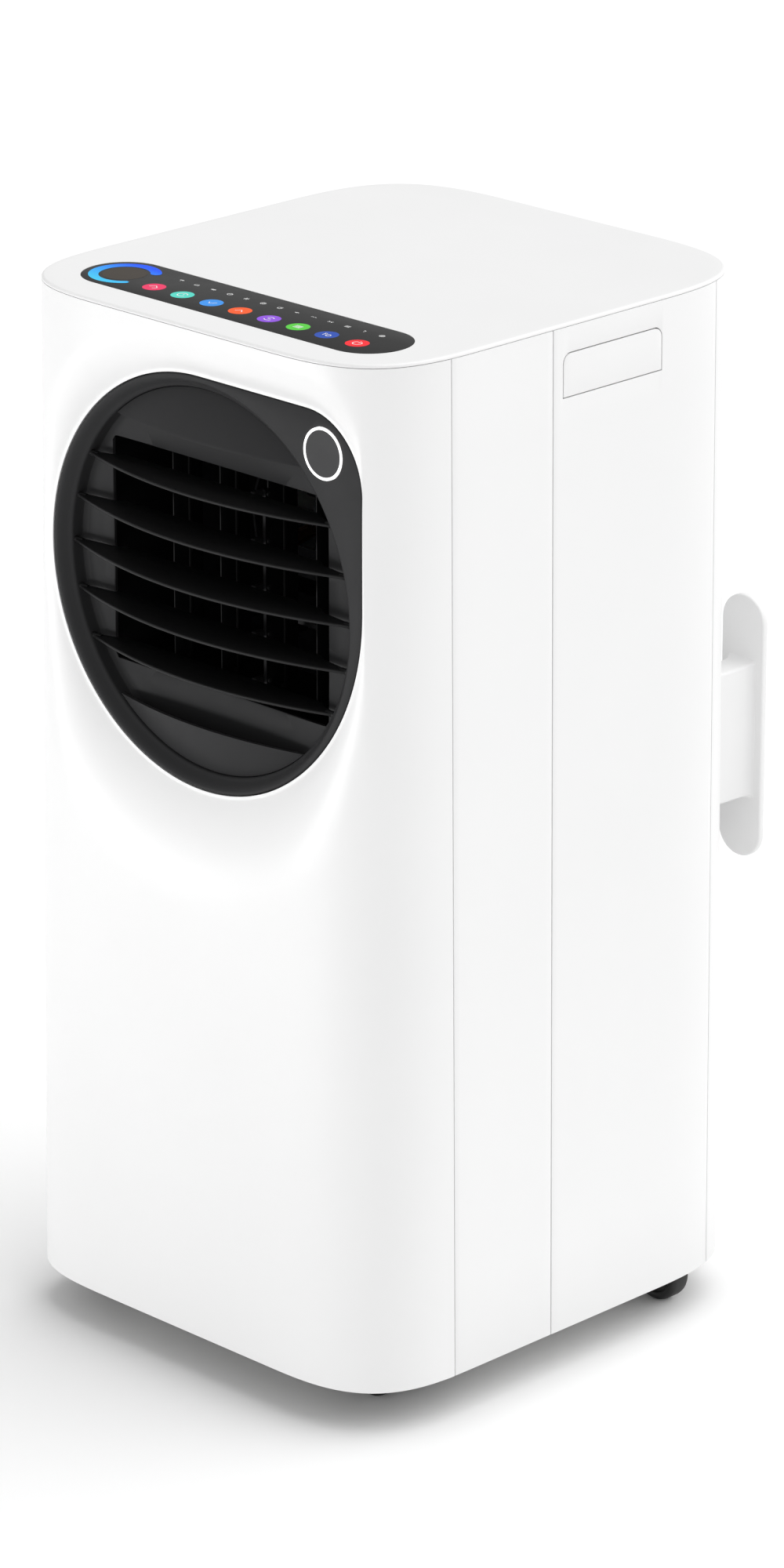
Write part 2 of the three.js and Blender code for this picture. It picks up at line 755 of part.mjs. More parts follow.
const scrollLine = () => {
  const top = outlet.z + outlet.ductHalfHeight + outlet.ductWall / 2;
  const bottom = outlet.z - outlet.ductHalfHeight - outlet.ductWall / 2;
  const start = top - outlet.z;
  const steps = 13;
  const spiral = Array.from({ length: steps + 1 }, (_, i) => {
    const share = i / steps;
    return onCircle(blower.y, outlet.z, start - 8 * share, 90 - 200 * share);
  });
  const floor = [[-10, bottom + 6], [-40, bottom], [outlet.ductEnd, bottom]];
  return [[outlet.ductEnd, top], [-30, top], ...spiral, ...floor];
};

const blowerScroll = () => {
  const half = outlet.ductHalfWidth;
  const line = scrollLine();
  const wall = prism("x", ribbon(line, blower.wall), -half - 0.5, half + 0.5);
  const cheeks = [-1, 1].map((side) => {
    const x = side * (half + blower.wall / 2);
    const cheek = prism("x", line, x - blower.wall / 2, x + blower.wall / 2);
    const inlet = rod([x - 5, blower.y, outlet.z], [x + 5, blower.y, outlet.z], blower.inlet, 28);
    return cut(cheek, inlet);
  });
  return join(wall, cheeks);
};

// A drum of blades between two end rings, with a hub disc in the middle or at one end.
const fanWheel = ({ radius, from, to, hubAt, blades, shaft, shaftFrom, shaftTo }) => {
  const depth = 11;
  const rings = [from, to - 2].map((x) =>
    turned("x", [x, 0, 0], [[radius - depth, 0], [radius, 0], [radius, 2], [radius - depth, 2]], 24),
  );
  const hub = rod([hubAt - 1, 0, 0], [hubAt + 1, 0, 0], radius - 11.5, 24);
  const boss = rod([hubAt - 8, 0, 0], [hubAt + 8, 0, 0], 12, 16);
  const axle = rod([shaftFrom, 0, 0], [shaftTo, 0, 0], shaft, 12);
  const fins = Array.from({ length: blades }, (_, i) => {
    const fin = block(from, -0.8, radius - depth + 0.5, to, 0.8, radius - 0.7);
    return fin.rotate([20, 0, 0]).translate([0, 8, -2]).rotate([(360 * i) / blades, 0, 0]);
  });
  return join(rings, hub, boss, axle, fins);
};

const blowerWheel = () =>
  fanWheel({
    radius: blower.wheelRadius,
    from: -blower.wheelHalf,
    to: blower.wheelHalf,
    hubAt: 0,
    blades: blower.blades,
    shaft: blower.shaft,
    shaftFrom: -blower.wheelHalf - 8,
    shaftTo: blowerMotor.from + 14,
  }).translate([0, blower.y, outlet.z]);

// A motor can along +X with three arms that reach back to a ring of feet.
const motor = ({ radius, from, to, feetAt, feetRadius, shaft }) => {
  const can = rod([from, 0, 0], [to, 0, 0], radius, 20);
  const cap = rod([to - 0.5, 0, 0], [to + 5, 0, 0], radius * 0.5, 14);
  const arms = [90, 210, 330].map((degrees) => {
    const arm = join(
      block(from, -5, 0, from + 4, 5, feetRadius),
      block(feetAt, -5, feetRadius - 8, from + 4, 5, feetRadius),
    );
    return arm.rotate([degrees, 0, 0]);
  });
  const bore = rod([feetAt - 5, 0, 0], [from + 18, 0, 0], shaft + runningGap, 16);
  return cut(join(can, cap, arms), bore);
};

const blowerMotorPiece = () =>
  motor({
    radius: blowerMotor.radius,
    from: blowerMotor.from,
    to: blowerMotor.to,
    feetAt: outlet.ductHalfWidth + blower.wall + clearance,
    feetRadius: 60,
    shaft: blower.shaft,
  }).translate([0, blower.y, outlet.z]);

// A finned heat exchanger: the fin pack between two end plates, with return bends on one side.
const heatExchanger = ({ y, bottom, top, bends }) => {
  const half = coil.thickness / 2;
  const pack = block(-coil.halfWidth, y - half, bottom, coil.halfWidth, y + half, top);
  const height = top - bottom;
  const grooves = Array.from({ length: 7 }, (_, i) => {
    const x = (i - 3) * 36;
    return block(x - 2, y - half - 1, bottom + 6, x + 2, y - half + 4, top - 6);
  });
  const plates = [-1, 1].map((side) => {
    const x = side * coil.halfWidth;
    return block(x - coil.plate / 2, y - half - 3, bottom, x + coil.plate / 2, y + half + 3, top);
  });
  const returns = Array.from({ length: bends }, (_, i) => {
    const z = bottom + (height * (i + 0.5)) / bends;
    const x = coil.halfWidth;
    const bend = [
      [x - 1, y, z - coil.bendRadius],
      [x + 4, y, z - coil.bendRadius],
      [x + 4 + coil.bendRadius, y, z],
      [x + 4, y, z + coil.bendRadius],
      [x - 1, y, z + coil.bendRadius],
    ];
    return pipe(bend, coil.tube, 6);
  });
  return join(cut(pack, grooves), plates, returns);
};

const condensateTray = () => {
  const half = coil.halfWidth + 6;
  const top = tray.bottom + tray.height;
  return cut(
    block(-half, tray.front, tray.bottom, half, tray.rear, top),
    block(
      -half + tray.wall,
      tray.front + tray.wall,
      tray.bottom + tray.wall,
      half - tray.wall,
      tray.rear - tray.wall,
      top + 1,
    ),
  );
};

const suctionDrop = { x: 30.3 - casing.topHalfWidth, y: 0 };

const dividerDeck = () => {
  const whole = casingBlock(deck.bottom, deck.bottom + deck.thickness, deck.inset);
  const plate = whole.intersect(slab(outletBack + outlet.backPlate + 1, wide));
  const { x, y } = suctionDrop;
  return cut(plate, rod([x, y, deck.bottom - 5], [x, y, deck.bottom + 10], pipeRadius + 5, 16));
};

// ---- Lower air path -----------------------------------------------------------------------------

const exhaustMid = (exhaustFan.front + exhaustFan.rear) / 2;
const portZ = exhaustPort.bendZ + exhaustPort.bendY - exhaustMid;

const exhaustLine = () => {
  const { x, z, tongue, spread, outletTop } = exhaustFan;
  const gateX = x - tongue * Math.cos(THREE.MathUtils.degToRad(55.3));
  const gateZ = z + tongue * Math.sin(THREE.MathUtils.degToRad(55.3));
  const steps = 16;
  const spiral = Array.from({ length: steps + 1 }, (_, i) => {
    const share = i / steps;
    return onCircle(x, z, tongue + (spread - tongue) * share, 124.7 - 304.7 * share);
  });
  return [[gateX, outletTop], [gateX, gateZ + 25], ...spiral, [x - spread, outletTop]];
};

const exhaustScroll = () => {
  const { x, z, front, rear, wall, inlet, shaft } = exhaustFan;
  const line = exhaustLine();
  const band = prism("y", ribbon(line, wall), front, rear);
  const faces = [
    cut(prism("y", line, front, front + wall), rod([x, front - 5, z], [x, front + 9, z], shaft + 3, 16)),
    cut(prism("y", line, rear - wall, rear), rod([x, rear - 9, z], [x, rear + 5, z], inlet, 28)),
  ];
  return join(band, faces);
};

const exhaustWheel = () =>
  fanWheel({
    radius: exhaustFan.wheelRadius,
    from: exhaustFan.front + 9,
    to: exhaustFan.rear - 7,
    hubAt: exhaustFan.front + 18,
    blades: exhaustFan.blades,
    shaft: exhaustFan.shaft,
    shaftFrom: exhaustMotor.to - 14,
    shaftTo: exhaustFan.front + 30,
  })
    .rotate([0, 0, 90])
    .translate([exhaustFan.x, 0, exhaustFan.z]);

const exhaustMotorPiece = () =>
  motor({
    radius: exhaustMotor.radius,
    from: -exhaustMotor.to,
    to: -exhaustMotor.from,
    feetAt: -exhaustFan.front + clearance,
    feetRadius: 62,
    shaft: exhaustFan.shaft,
  })
    .rotate([0, 0, -90])
    .translate([exhaustFan.x, 0, exhaustFan.z]);

// The bend that leads from the scroll's square mouth to the round port in the rear.
const exhaustDuctForm = (grow, extend) => {
  const [lineLeft, lineRight] = [exhaustFan.x - exhaustFan.spread, exhaustLine()[0][0]];
  const startX = (lineLeft + lineRight) / 2;
  const halfX = (lineRight - lineLeft) / 2;
  const halfY = (exhaustFan.rear - exhaustFan.front) / 2;
  const bend = exhaustPort.bendY - exhaustMid;
  const ring = (turn, share, along) => {
    const angle = THREE.MathUtils.degToRad(turn);
    const power = THREE.MathUtils.lerp(0.35, 1, share);
    const a = THREE.MathUtils.lerp(halfX, exhaustPort.bore, share) + grow;
    const b = THREE.MathUtils.lerp(halfY, exhaustPort.bore, share) + grow;
    const x = THREE.MathUtils.lerp(startX, exhaustPort.x, share);
    const shape = (v) => Math.sign(v) * Math.abs(v) ** power;
    return Array.from({ length: 20 }, (_, i) => {
      const t = ((i + 0.5) / 20) * Math.PI * 2;
      const across = bend - b * shape(Math.sin(t));
      const y = exhaustPort.bendY - across * Math.cos(angle) + along * Math.sin(angle);
      const z = exhaustPort.bendZ + across * Math.sin(angle) + along * Math.cos(angle);
      return new THREE.Vector3(x + a * shape(Math.cos(t)), y, z);
    });
  };
  const start = exhaustFan.outletTop + clearance - exhaustPort.bendZ;
  return loft([
    ring(0, 0, start - extend),
    ring(18, 0.15, 0),
    ring(36, 0.35, 0),
    ring(54, 0.6, 0),
    ring(72, 0.85, 0),
    ring(90, 1, 0),
    ring(90, 1, exhaustPort.endY - exhaustPort.bendY + extend),
  ]);
};

const exhaustDuct = () => cut(exhaustDuctForm(exhaustPort.wall, 0), exhaustDuctForm(0, 1));

const exhaustCollar = () => {
  const { x, bore } = exhaustPort;
  const outer = bore + collar.wall;
  const seat = casingSize(portZ).rear + clearance;
  const profile = [
    [bore, collar.from],
    [outer, collar.from],
    [outer, seat],
    [collar.flange, seat],
    [collar.flange, seat + collar.flangeThickness],
    [outer, seat + collar.flangeThickness],
    [outer, collar.reach],
    [bore, collar.reach],
  ];
  const ring = turned("y", [x, 0, portZ], profile, 36);
  const lugs = [45, 165, 285].map((degrees) => {
    const [lugX, lugZ] = onCircle(x, portZ, outer + 1, degrees);
    return rod([lugX, collar.reach - 6, lugZ], [lugX, collar.reach - 1, lugZ], 3, 12);
  });
  return join(ring, lugs);
};

// ---- Refrigeration and electrics ----------------------------------------------------------------

const compressorPiece = () => {
  const { x, y, radius, bottom, top, dome: cap } = compressor;
  const shell = turned(
    "z",
    [x, y, 0],
    [
      [0, bottom],
      [radius * 0.7, bottom + cap * 0.25],
      [radius, bottom + cap],
      [radius, top - cap],
      [radius * 0.7, top - cap * 0.25],
      [0, top],
    ],
    24,
  );
  const foot = (degrees) => {
    const [footX, footY] = onCircle(x, y, radius, degrees);
    return rod([footX, footY, pan.top + clearance], [footX, footY, bottom + 4], 8, 12);
  };
  const plate = prism("z", arc(x, y, radius + 12, 0, 320, 8), bottom + 3, bottom + 6);
  const bottle = turned(
    "z",
    [x + accumulator.dx, y + accumulator.dy, 0],
    [
      [0, accumulator.bottom],
      [accumulator.radius, accumulator.bottom + 10],
      [accumulator.radius, accumulator.top - 10],
      [0, accumulator.top],
    ],
    14,
  );
  const strap = block(
    x + radius - 6,
    y - 12,
    (bottom + top) / 2 - 6,
    x + accumulator.dx - accumulator.radius + 6,
    y - 4,
    (bottom + top) / 2 + 6,
  );
  return join(shell, plate, foot(90), foot(210), foot(330), bottle, strap);
};

const dischargePipe = () => {
  const { x, y, top } = compressor;
  const end = condenser.y - coil.thickness / 2 - clearance;
  return pipe(
    [
      [x, y, top + clearance],
      [x, y, top + 22],
      [x, y + 40, top + 34],
      [x - 14, y + 130, top + 34],
      [x - 22, end - 20, condenser.top - 20],
      [x - 22, end, condenser.top - 20],
    ],
    pipeRadius,
    18,
  );
};

const suctionPipe = () => {
  const end = evaporator.y - coil.thickness / 2 - clearance;
  const { x, y } = suctionDrop;
  return pipe(
    [
      [compressor.x - 40, end, evaporator.bottom + 40],
      [compressor.x - 40, end - 20, evaporator.bottom + 40],
      [x, y + 40, evaporator.bottom + 22],
      [x, y, deck.bottom + 14],
      [x, y, deck.bottom - 14],
      [x + 10, y - 40, 350],
      [compressor.x + 25, -90, 310],
      [compressor.x + accumulator.dx, compressor.y + accumulator.dy, 262],
      [compressor.x + accumulator.dx, compressor.y + accumulator.dy, accumulator.top + clearance],
    ],
    pipeRadius,
    26,
  );
};

const electricalBox = () => {
  const { x, y, width, depth, bottom, top } = electrics;
  const shell = block(x - width / 2, y - depth / 2, bottom, x + width / 2, y + depth / 2, top);
  const rim = 2;
  const cover = block(
    x - width / 2 - rim,
    y - depth / 2 - rim,
    bottom - rim,
    x + width / 2 + rim,
    y - depth / 2 + 6,
    top + rim,
  );
  const can = rod(
    [x + 20, y + depth / 2 + capacitor.radius - 3, bottom],
    [x + 20, y + depth / 2 + capacitor.radius - 3, bottom + capacitor.height],
    capacitor.radius,
    20,
  );
  const legs = [-1, 1].map((side) => {
    const legX = x + side * (width / 2 - 8);
    return block(legX - 4, y - 6, pan.top + clearance, legX + 4, y + 6, bottom + 1);
  });
  return join(shell, cover, can, legs);
};

// ---- Rear fittings ------------------------------------------------------------------------------

// Grilles are cut from the casing's own skin, so that they follow its curve.
const grille = (opening) => {
  const { x0, x1, z0, z1 } = opening;
  const { pitch, slot, border, bays, rib } = grilleBars;
  const count = Math.floor((z1 - z0 - 2 * border) / pitch);
  const start = (z0 + z1 - count * pitch) / 2;
  const bay = (x1 - x0 - 2 * border + rib) / bays;
  const slots = [];
  for (let row = 0; row < count; row++) {
    for (let column = 0; column < bays; column++) {
      const left = x0 + border + column * bay;
      const low = start + row * pitch + (pitch - slot) / 2;
      slots.push(block(left, 100, low, left + bay - rib, wide, low + slot));
    }
  }
  return cut(skin.intersect(openingBlock(opening, 0)), slots);
};

const airFilter = () => {
  const { x0, x1, z0, z1 } = filterOpening;
  const { y, thickness, border, mesh } = filterFrame;
  const inset = 5;
  const frame = block(x0 + inset, y, z0 + inset, x1 - inset, y + thickness, z1 - inset);
  const bays = [];
  const cellX = (x1 - x0 - 2 * inset - border) / 3;
  const cellZ = (z1 - z0 - 2 * inset - border) / 2;
  for (let column = 0; column < 3; column++) {
    for (let row = 0; row < 2; row++) {
      const left = x0 + inset + border + column * cellX;
      const low = z0 + inset + border + row * cellZ;
      bays.push(block(left, y + mesh, low, left + cellX - border, y + thickness + 1, low + cellZ - border));
    }
  }
  return cut(frame, bays);
};

const cordWinder = () => {
  const { x, z, stemHalfWidth, stemHalfHeight, plateRadius, plateHalfHeight } = winder;
  const { plateY, plateThickness } = winder;
  const stem = cut(
    block(x - stemHalfWidth, 150, z - stemHalfHeight, x + stemHalfWidth, plateY + 1, z + stemHalfHeight),
    casingBlock(baseZ, panelTop, -clearance),
  );
  const reach = plateHalfHeight - plateRadius;
  const outline = [
    ...arc(x, z + reach, plateRadius, 0, 180, 10),
    ...arc(x, z - reach, plateRadius, 180, 360, 10),
  ];
  return join(stem, prism("y", outline, plateY, plateY + plateThickness));
};

// The surface of the rear panel at a place across its width.
const rearSurface = (x, z) => {
  const { side, rear } = casingSize(z);
  const along = Math.max(0, Math.abs(x) - (side - casing.rearCorner)) / casing.rearCorner;
  const drop = 1 - (1 - along ** casing.cornerPower) ** (1 / casing.cornerPower);
  return rear - casing.rearCorner * drop;
};

const cordGland = () => {
  const { x, z, radius, reach, bore } = gland;
  const seat = rearSurface(x - radius, z) + clearance;
  const y0 = rearSurface(x, z) - casing.wall - 4;
  const stem = rod([x, y0, z], [x, seat + 1, z], radius - 2 - 0.1, 20);
  const head = rod([x, seat, z], [x, seat + reach, z], radius, 20, radius * 0.65);
  return cut(join(stem, head), rod([x, y0 - 5, z], [x, seat + reach + 5, z], bore, 16));
};

const drainCap = () => {
  const { x, z, radius, stem, reach, stemLength } = drain;
  const seat = rearSurface(x + radius, z) + clearance;
  const knob = rod([x, seat, z], [x, seat + reach, z], radius, 20, radius - 1);
  const plug = rod([x, seat - stemLength, z], [x, seat + 1, z], stem - 0.1, 16);
  return join(knob, plug);
};

// ---- Base and casters ---------------------------------------------------------------------------

const basePan = () => {
  const plate = casingBlock(pan.bottom, pan.top, casing.wall + clearance);
  const { sumpHalfWidth, sumpHalfLength, sumpFloor } = pan;
  const sump = block(-sumpHalfWidth, -sumpHalfLength, sumpFloor, sumpHalfWidth, sumpHalfLength, pan.top + 5);
  const wells = casterPlaces.flatMap(({ x, y }) => [
    rod([x, y, pan.bottom - 5], [x, y, caster.wellTop], caster.wellRadius, 20),
    rod([x, y, caster.wellTop - 1], [x, y, caster.pintleTop + 0.6], caster.pintleRadius + runningGap, 12),
  ]);
  return cut(plate, sump, wells);
};

const casterPlaces = [
  { name: "front_right", x: caster.x, y: -caster.y, trail: -1 },
  { name: "front_left", x: -caster.x, y: -caster.y, trail: -1 },
  { name: "rear_right", x: caster.x, y: caster.y, trail: 1 },
  { name: "rear_left", x: -caster.x, y: caster.y, trail: 1 },
];

// The fork stands on its pivot at the origin and trails the wheel along +X.
const casterFork = () => {
  const { trail, wheelRadius, wheelWidth, axleRadius, legThickness, legGap } = caster;
  const plate = rod([0, 0, caster.plateBottom], [0, 0, caster.plateTop], caster.plateRadius, 18);
  const pintle = rod([0, 0, caster.plateTop - 1], [0, 0, caster.pintleTop], caster.pintleRadius, 12);
  const inside = wheelWidth / 2 + legGap;
  const leg = [
    [-9, caster.plateBottom + 1],
    [13, caster.plateBottom + 1],
    [trail + 7, wheelRadius],
    [trail + 4, wheelRadius - 7],
    [trail - 4, wheelRadius - 7],
    [trail - 7, wheelRadius],
  ];
  const legs = [
    prism("y", leg, inside, inside + legThickness),
    prism("y", leg, -inside - legThickness, -inside),
  ];
  const axle = rod([trail, -inside - 1, wheelRadius], [trail, inside + 1, wheelRadius], axleRadius, 10);
  return join(plate, pintle, legs, axle);
};

const casterWheel = () => {
  const { trail, wheelRadius: r, wheelWidth, axleRadius } = caster;
  const half = wheelWidth / 2;
  const bore = axleRadius + runningGap;
  const profile = [
    [bore, -half],
    [r - 3, -half],
    [r, -half + 3.5],
    [r, half - 3.5],
    [r - 3, half],
    [bore, half],
  ];
  return turned("y", [trail, 0, r], profile, 24);
};

// ---- Materials ----------------------------------------------------------------------------------

const finish = (color, roughness, metalness = 0) =>
  new THREE.MeshStandardMaterial({ color, roughness, metalness });

const finishes = {
  casing: () => finish(0xf3f3f2, 0.38),
  bezel: () => finish(0x3b3b3c, 0.42),
  dark: () => finish(0x262728, 0.5),
  glass: () => finish(0x3a3a3a, 0.12),
  lens: () => finish(0xf6f6f6, 0.25),
  rubber: () => finish(0x161616, 0.8),
  grey: () => finish(0xc9cac8, 0.55),
  foam: () => finish(0xdedede, 0.9),
  steel: () => finish(0x9fa3a6, 0.35, 0.9),
  black: () => finish(0x1b1c1e, 0.4),
  copper: () => finish(0xb56f45, 0.3, 0.95),
  aluminium: () => finish(0xc4c8cc, 0.4, 0.9),
  circuit: () => finish(0x1f6b3a, 0.5),
  filter: () => finish(0x6c7076, 0.8),
};

// ---- Assembly -----------------------------------------------------------------------------------

const rearmost = winder.plateY + winder.plateThickness;
const frontmost = casing.topFront + casing.flareFront;
const unit = new THREE.Group();
unit.position.y = (frontmost - rearmost) / 2;

const add = (name, solid, material, parent = unit) => {
  const mesh = new THREE.Mesh(toGeometry(solid), finishes[material]());
  mesh.name = name;
  parent.add(mesh);
};

add("base_pan", basePan(), "grey");
add("front_panel", frontPanel, "casing");
for (const [name, side] of [["left", -1], ["right", 1]]) {
  add(`side_strip_${name}`, sideStrip(side), "casing");
  add(`side_panel_${name}`, sidePanel(side), "casing");
  add(`handle_cup_${name}`, handleCup(side), "casing");
  add(`handle_flap_${name}`, handleFlap(side), "casing");
}
add("rear_panel", rearPanel(), "casing");
add("top_cover", topCover(), "casing");
add("touch_panel", prism("z", stadium(-clearance / 2), topZ - glass.thickness, topZ), "glass");
add("control_board", controlBoard(), "circuit");

add("outlet_bezel", bezel(), "bezel");
add("status_lens", statusLensPiece(), "lens");
add("eyelid_upper", eyelid(1), "bezel");
add("eyelid_lower", eyelid(-1), "bezel");
add("outlet_duct", outletDuct(), "dark");
for (let i = 0; i < vane.count; i++) add(`vane_${i + 1}`, vanePiece(i), "bezel");
add("vane_link", vaneLinkPiece(), "dark");
for (let i = 0; i < deflector.count; i++) add(`deflector_${i + 1}`, deflectorPiece(i), "dark");
add("deflector_tie_bar", tieBarPiece(), "dark");

add("divider_deck", dividerDeck(), "grey");
add("condensate_tray", condensateTray(), "foam");
add("evaporator", heatExchanger(evaporator), "aluminium");
add("blower_scroll", blowerScroll(), "foam");
add("blower_wheel", blowerWheel(), "black");
add("blower_motor", blowerMotorPiece(), "steel");

add("condenser", heatExchanger(condenser), "aluminium");
add("exhaust_scroll", exhaustScroll(), "foam");
add("exhaust_wheel", exhaustWheel(), "black");
add("exhaust_motor", exhaustMotorPiece(), "steel");
add("exhaust_duct", exhaustDuct(), "foam");
add("exhaust_collar", exhaustCollar(), "dark");

add("compressor", compressorPiece(), "black");
add("discharge_pipe", dischargePipe(), "copper");
add("suction_pipe", suctionPipe(), "copper");
add("electrical_box", electricalBox(), "steel");

add("filter_grille", grille(filterOpening), "casing");
add("air_filter", airFilter(), "filter");
add("intake_grille", grille(intakeOpening), "casing");
add("cord_winder", cordWinder(), "casing");
add("cord_gland", cordGland(), "dark");
add("drain_cap", drainCap(), "dark");

for (const { name, x, y, trail } of casterPlaces) {
  const place = new THREE.Group();
  place.position.set(x, y, 0);
  place.rotation.z = trail > 0 ? 0 : Math.PI;
  unit.add(place);
  add(`caster_fork_${name}`, casterFork(), "dark", place);
  add(`caster_wheel_${name}`, casterWheel(), "rubber", place);
}

export default unit;
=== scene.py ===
"""Portable air conditioner: the looks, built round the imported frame."""

import math

import bmesh
import bpy
import numpy as np
from bpy.props import FloatProperty, FloatVectorProperty, PointerProperty
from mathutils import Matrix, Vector


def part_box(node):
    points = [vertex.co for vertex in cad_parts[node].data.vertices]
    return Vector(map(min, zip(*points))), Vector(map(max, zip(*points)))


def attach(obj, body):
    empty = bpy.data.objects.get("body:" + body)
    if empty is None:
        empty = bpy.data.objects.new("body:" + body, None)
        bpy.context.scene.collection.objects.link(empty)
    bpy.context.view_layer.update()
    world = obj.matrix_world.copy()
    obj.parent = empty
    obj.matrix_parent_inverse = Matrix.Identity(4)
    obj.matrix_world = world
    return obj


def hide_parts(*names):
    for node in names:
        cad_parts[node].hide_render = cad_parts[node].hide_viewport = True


bl_info = {
    "name": "Portable Air Conditioner",
    "version": (1, 0, 0),
    "blender": (4, 5, 0),
    "location": "3D View > Sidebar > Air Conditioner",
    "description": "Builds the casing, outlet, touch strip and casters of a portable air conditioner",
    "category": "Object",
}

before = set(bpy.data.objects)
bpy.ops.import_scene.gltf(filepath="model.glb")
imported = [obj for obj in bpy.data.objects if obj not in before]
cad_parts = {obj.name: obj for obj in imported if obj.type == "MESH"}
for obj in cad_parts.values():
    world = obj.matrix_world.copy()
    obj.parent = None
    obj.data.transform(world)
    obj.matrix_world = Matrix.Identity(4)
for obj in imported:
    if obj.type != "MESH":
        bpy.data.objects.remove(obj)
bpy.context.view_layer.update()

MM = 0.001
SHIFT = (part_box("front_panel")[0].y + 189.3 * MM) / MM  # how far the casing's middle lies from the origin, mm
FLOOR_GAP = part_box("front_panel")[0].z / MM
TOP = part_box("top_cover")[1].z / MM
OUTLET_Z = (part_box("vane_3")[0].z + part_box("vane_3")[1].z) / 2 / MM
SIDE_TOP = 170.3
FRONT_TOP = 182.6
REAR_TOP = 182.6
FRONT_CORNER = 103.0
REAR_CORNER = 115.0
CORNER_POWER = 3.33
SEAMS = {"front": -113.3, "strip": -22.9, "rear": 136.0}
PANEL_TOP = TOP - 2.6
BEZEL_Y = -168.5
BEZEL_R = 138.5
BORE_R = 128.0
WELL_WALL_R = 133.8
WELL_FLOOR_R = 122.5
DUCT_MOUTH = (99.0, 75.8)
STATUS_SPOT = (112.3, OUTLET_Z + 111.8)
DOME_R = 340.0
DOME_HEIGHT = 16.0
EYELID_R = 127.5
EYELID_EDGE = 95.3
HANDLE_Y = 31.9
HANDLE_Z = OUTLET_Z + 141.5
HANDLE_HALF = (46.0, 14.75)
HANDLE_CORNER = 7.0
HANDLE_GAP = 0.8
FLAP_THICKNESS = 2.4
FLAP_HINGE_DROP = 3.8
FLAP_HINGE_DEPTH = 5.8
VANE_COUNT = 5
VANE_PITCH = 31.15
VANE_PIVOT_Y = -158.0
DEFLECTOR_COUNT = 4
DEFLECTOR_PITCH = 44.0
CASTER_SPOT = (127, 122)
CASTER_TRAIL = 14.5
AXLE_Z = 20


# ---- Sizes and colours a user would change --------------------------------------------------------


def length(name, description, default):
    return FloatProperty(
        name=name, description=description, default=default, unit="LENGTH", subtype="DISTANCE"
    )


def colour(name, description, default):
    return FloatVectorProperty(
        name=name, description=description, default=default, size=3, min=0, max=1, subtype="COLOR"
    )


class CasingSettings(bpy.types.PropertyGroup):
    white: colour("Casing white", "Colour of the moulded casing", (0.82, 0.82, 0.82))
    wall: length("Wall", "Thickness of the casing panels", 0.003)
    seam: length("Seam", "Open joint between two casing panels", 0.0007)
    edge: length("Panel edge", "Rounding on the panels' edges", 0.0004)


class OutletSettings(bpy.types.PropertyGroup):
    black: colour("Bezel black", "Colour of the bezel and vanes", (0.03, 0.03, 0.031))
    ring: colour("Status ring", "Colour of the lit ring", (0.95, 0.95, 0.95))
    fade_above: length("Fade above", "Length of the slope above the bezel", 0.029)
    fade_below: length("Fade below", "Length of the slope below the bezel", 0.078)
    fade_side: length("Fade beside", "Length of the slope beside the bezel", 0.03)
    lip: length("Lip", "Flat edge of the panel round the bezel", 0.0024)
    vane_thickness: length("Vane", "Thickness of a louvre vane", 0.0022)


class TouchSettings(bpy.types.PropertyGroup):
    glass: colour("Touch glass", "Colour of the touch strip", (0.04, 0.04, 0.04))
    disc: length("Sign disc", "Diameter of a coloured sign", 0.0155)
    stroke: length("Stroke", "Width of the drawn signs", 0.0007)


class StageSettings(bpy.types.PropertyGroup):
    floor: colour("Floor", "Colour of the floor", (0.95, 0.95, 0.95))
    lens: length("Lens", "Focal length of the camera", 0.14629)


# ---- Mesh tools -----------------------------------------------------------------------------------


def place(point):
    """A point in casing millimetres, moved into the row frame in metres."""
    x, y, z = point
    return (x * MM, (y + SHIFT) * MM, z * MM)


def new_piece(name, vertices, faces, finish, body="casing", replaces=(), sharp=32.0):
    mesh = bpy.data.meshes.new(name)
    mesh.from_pydata([place(v) for v in vertices], [], faces)
    mesh.materials.append(finish)
    bm = bmesh.new()
    bm.from_mesh(mesh)
    bmesh.ops.remove_doubles(bm, verts=bm.verts, dist=1e-6)
    bmesh.ops.recalc_face_normals(bm, faces=bm.faces)
    bm.to_mesh(mesh)
    bm.free()
    mesh.shade_smooth()
    mesh.set_sharp_from_angle(angle=math.radians(sharp))
    piece = bpy.data.objects.new(name, mesh)
    bpy.context.scene.collection.objects.link(piece)
    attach(piece, body)
    if replaces:
        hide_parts(*replaces)
    return piece


def apply_modifiers(piece, sharp=32.0):
    bpy.context.view_layer.update()
    graph = bpy.context.evaluated_depsgraph_get()
    made = bpy.data.meshes.new_from_object(piece.evaluated_get(graph))
    piece.modifiers.clear()
    made.name = piece.name
    piece.data = made
    made.shade_smooth()
    made.set_sharp_from_angle(angle=math.radians(sharp))
    return piece


def thicken(piece, thickness, offset=-1.0):
    skin = piece.modifiers.new("wall", "SOLIDIFY")
    skin.thickness = thickness
    skin.offset = offset
    skin.use_even_offset = True
    return apply_modifiers(piece)


def ease_edges(piece, width, segments=2, angle=40.0, sharp=32.0):
    ease = piece.modifiers.new("ease", "BEVEL")
    ease.width = width
    ease.segments = segments
    ease.limit_method = "ANGLE"
    ease.angle_limit = math.radians(angle)
    ease.harden_normals = False
    return apply_modifiers(piece, sharp)


def carve(piece, *cutters):
    for cutter in cutters:
        hole = piece.modifiers.new("hole", "BOOLEAN")
        hole.operation = "DIFFERENCE"
        hole.solver = "EXACT"
        hole.object = cutter
    apply_modifiers(piece)
    for cutter in cutters:
        bpy.data.objects.remove(cutter)
    return piece


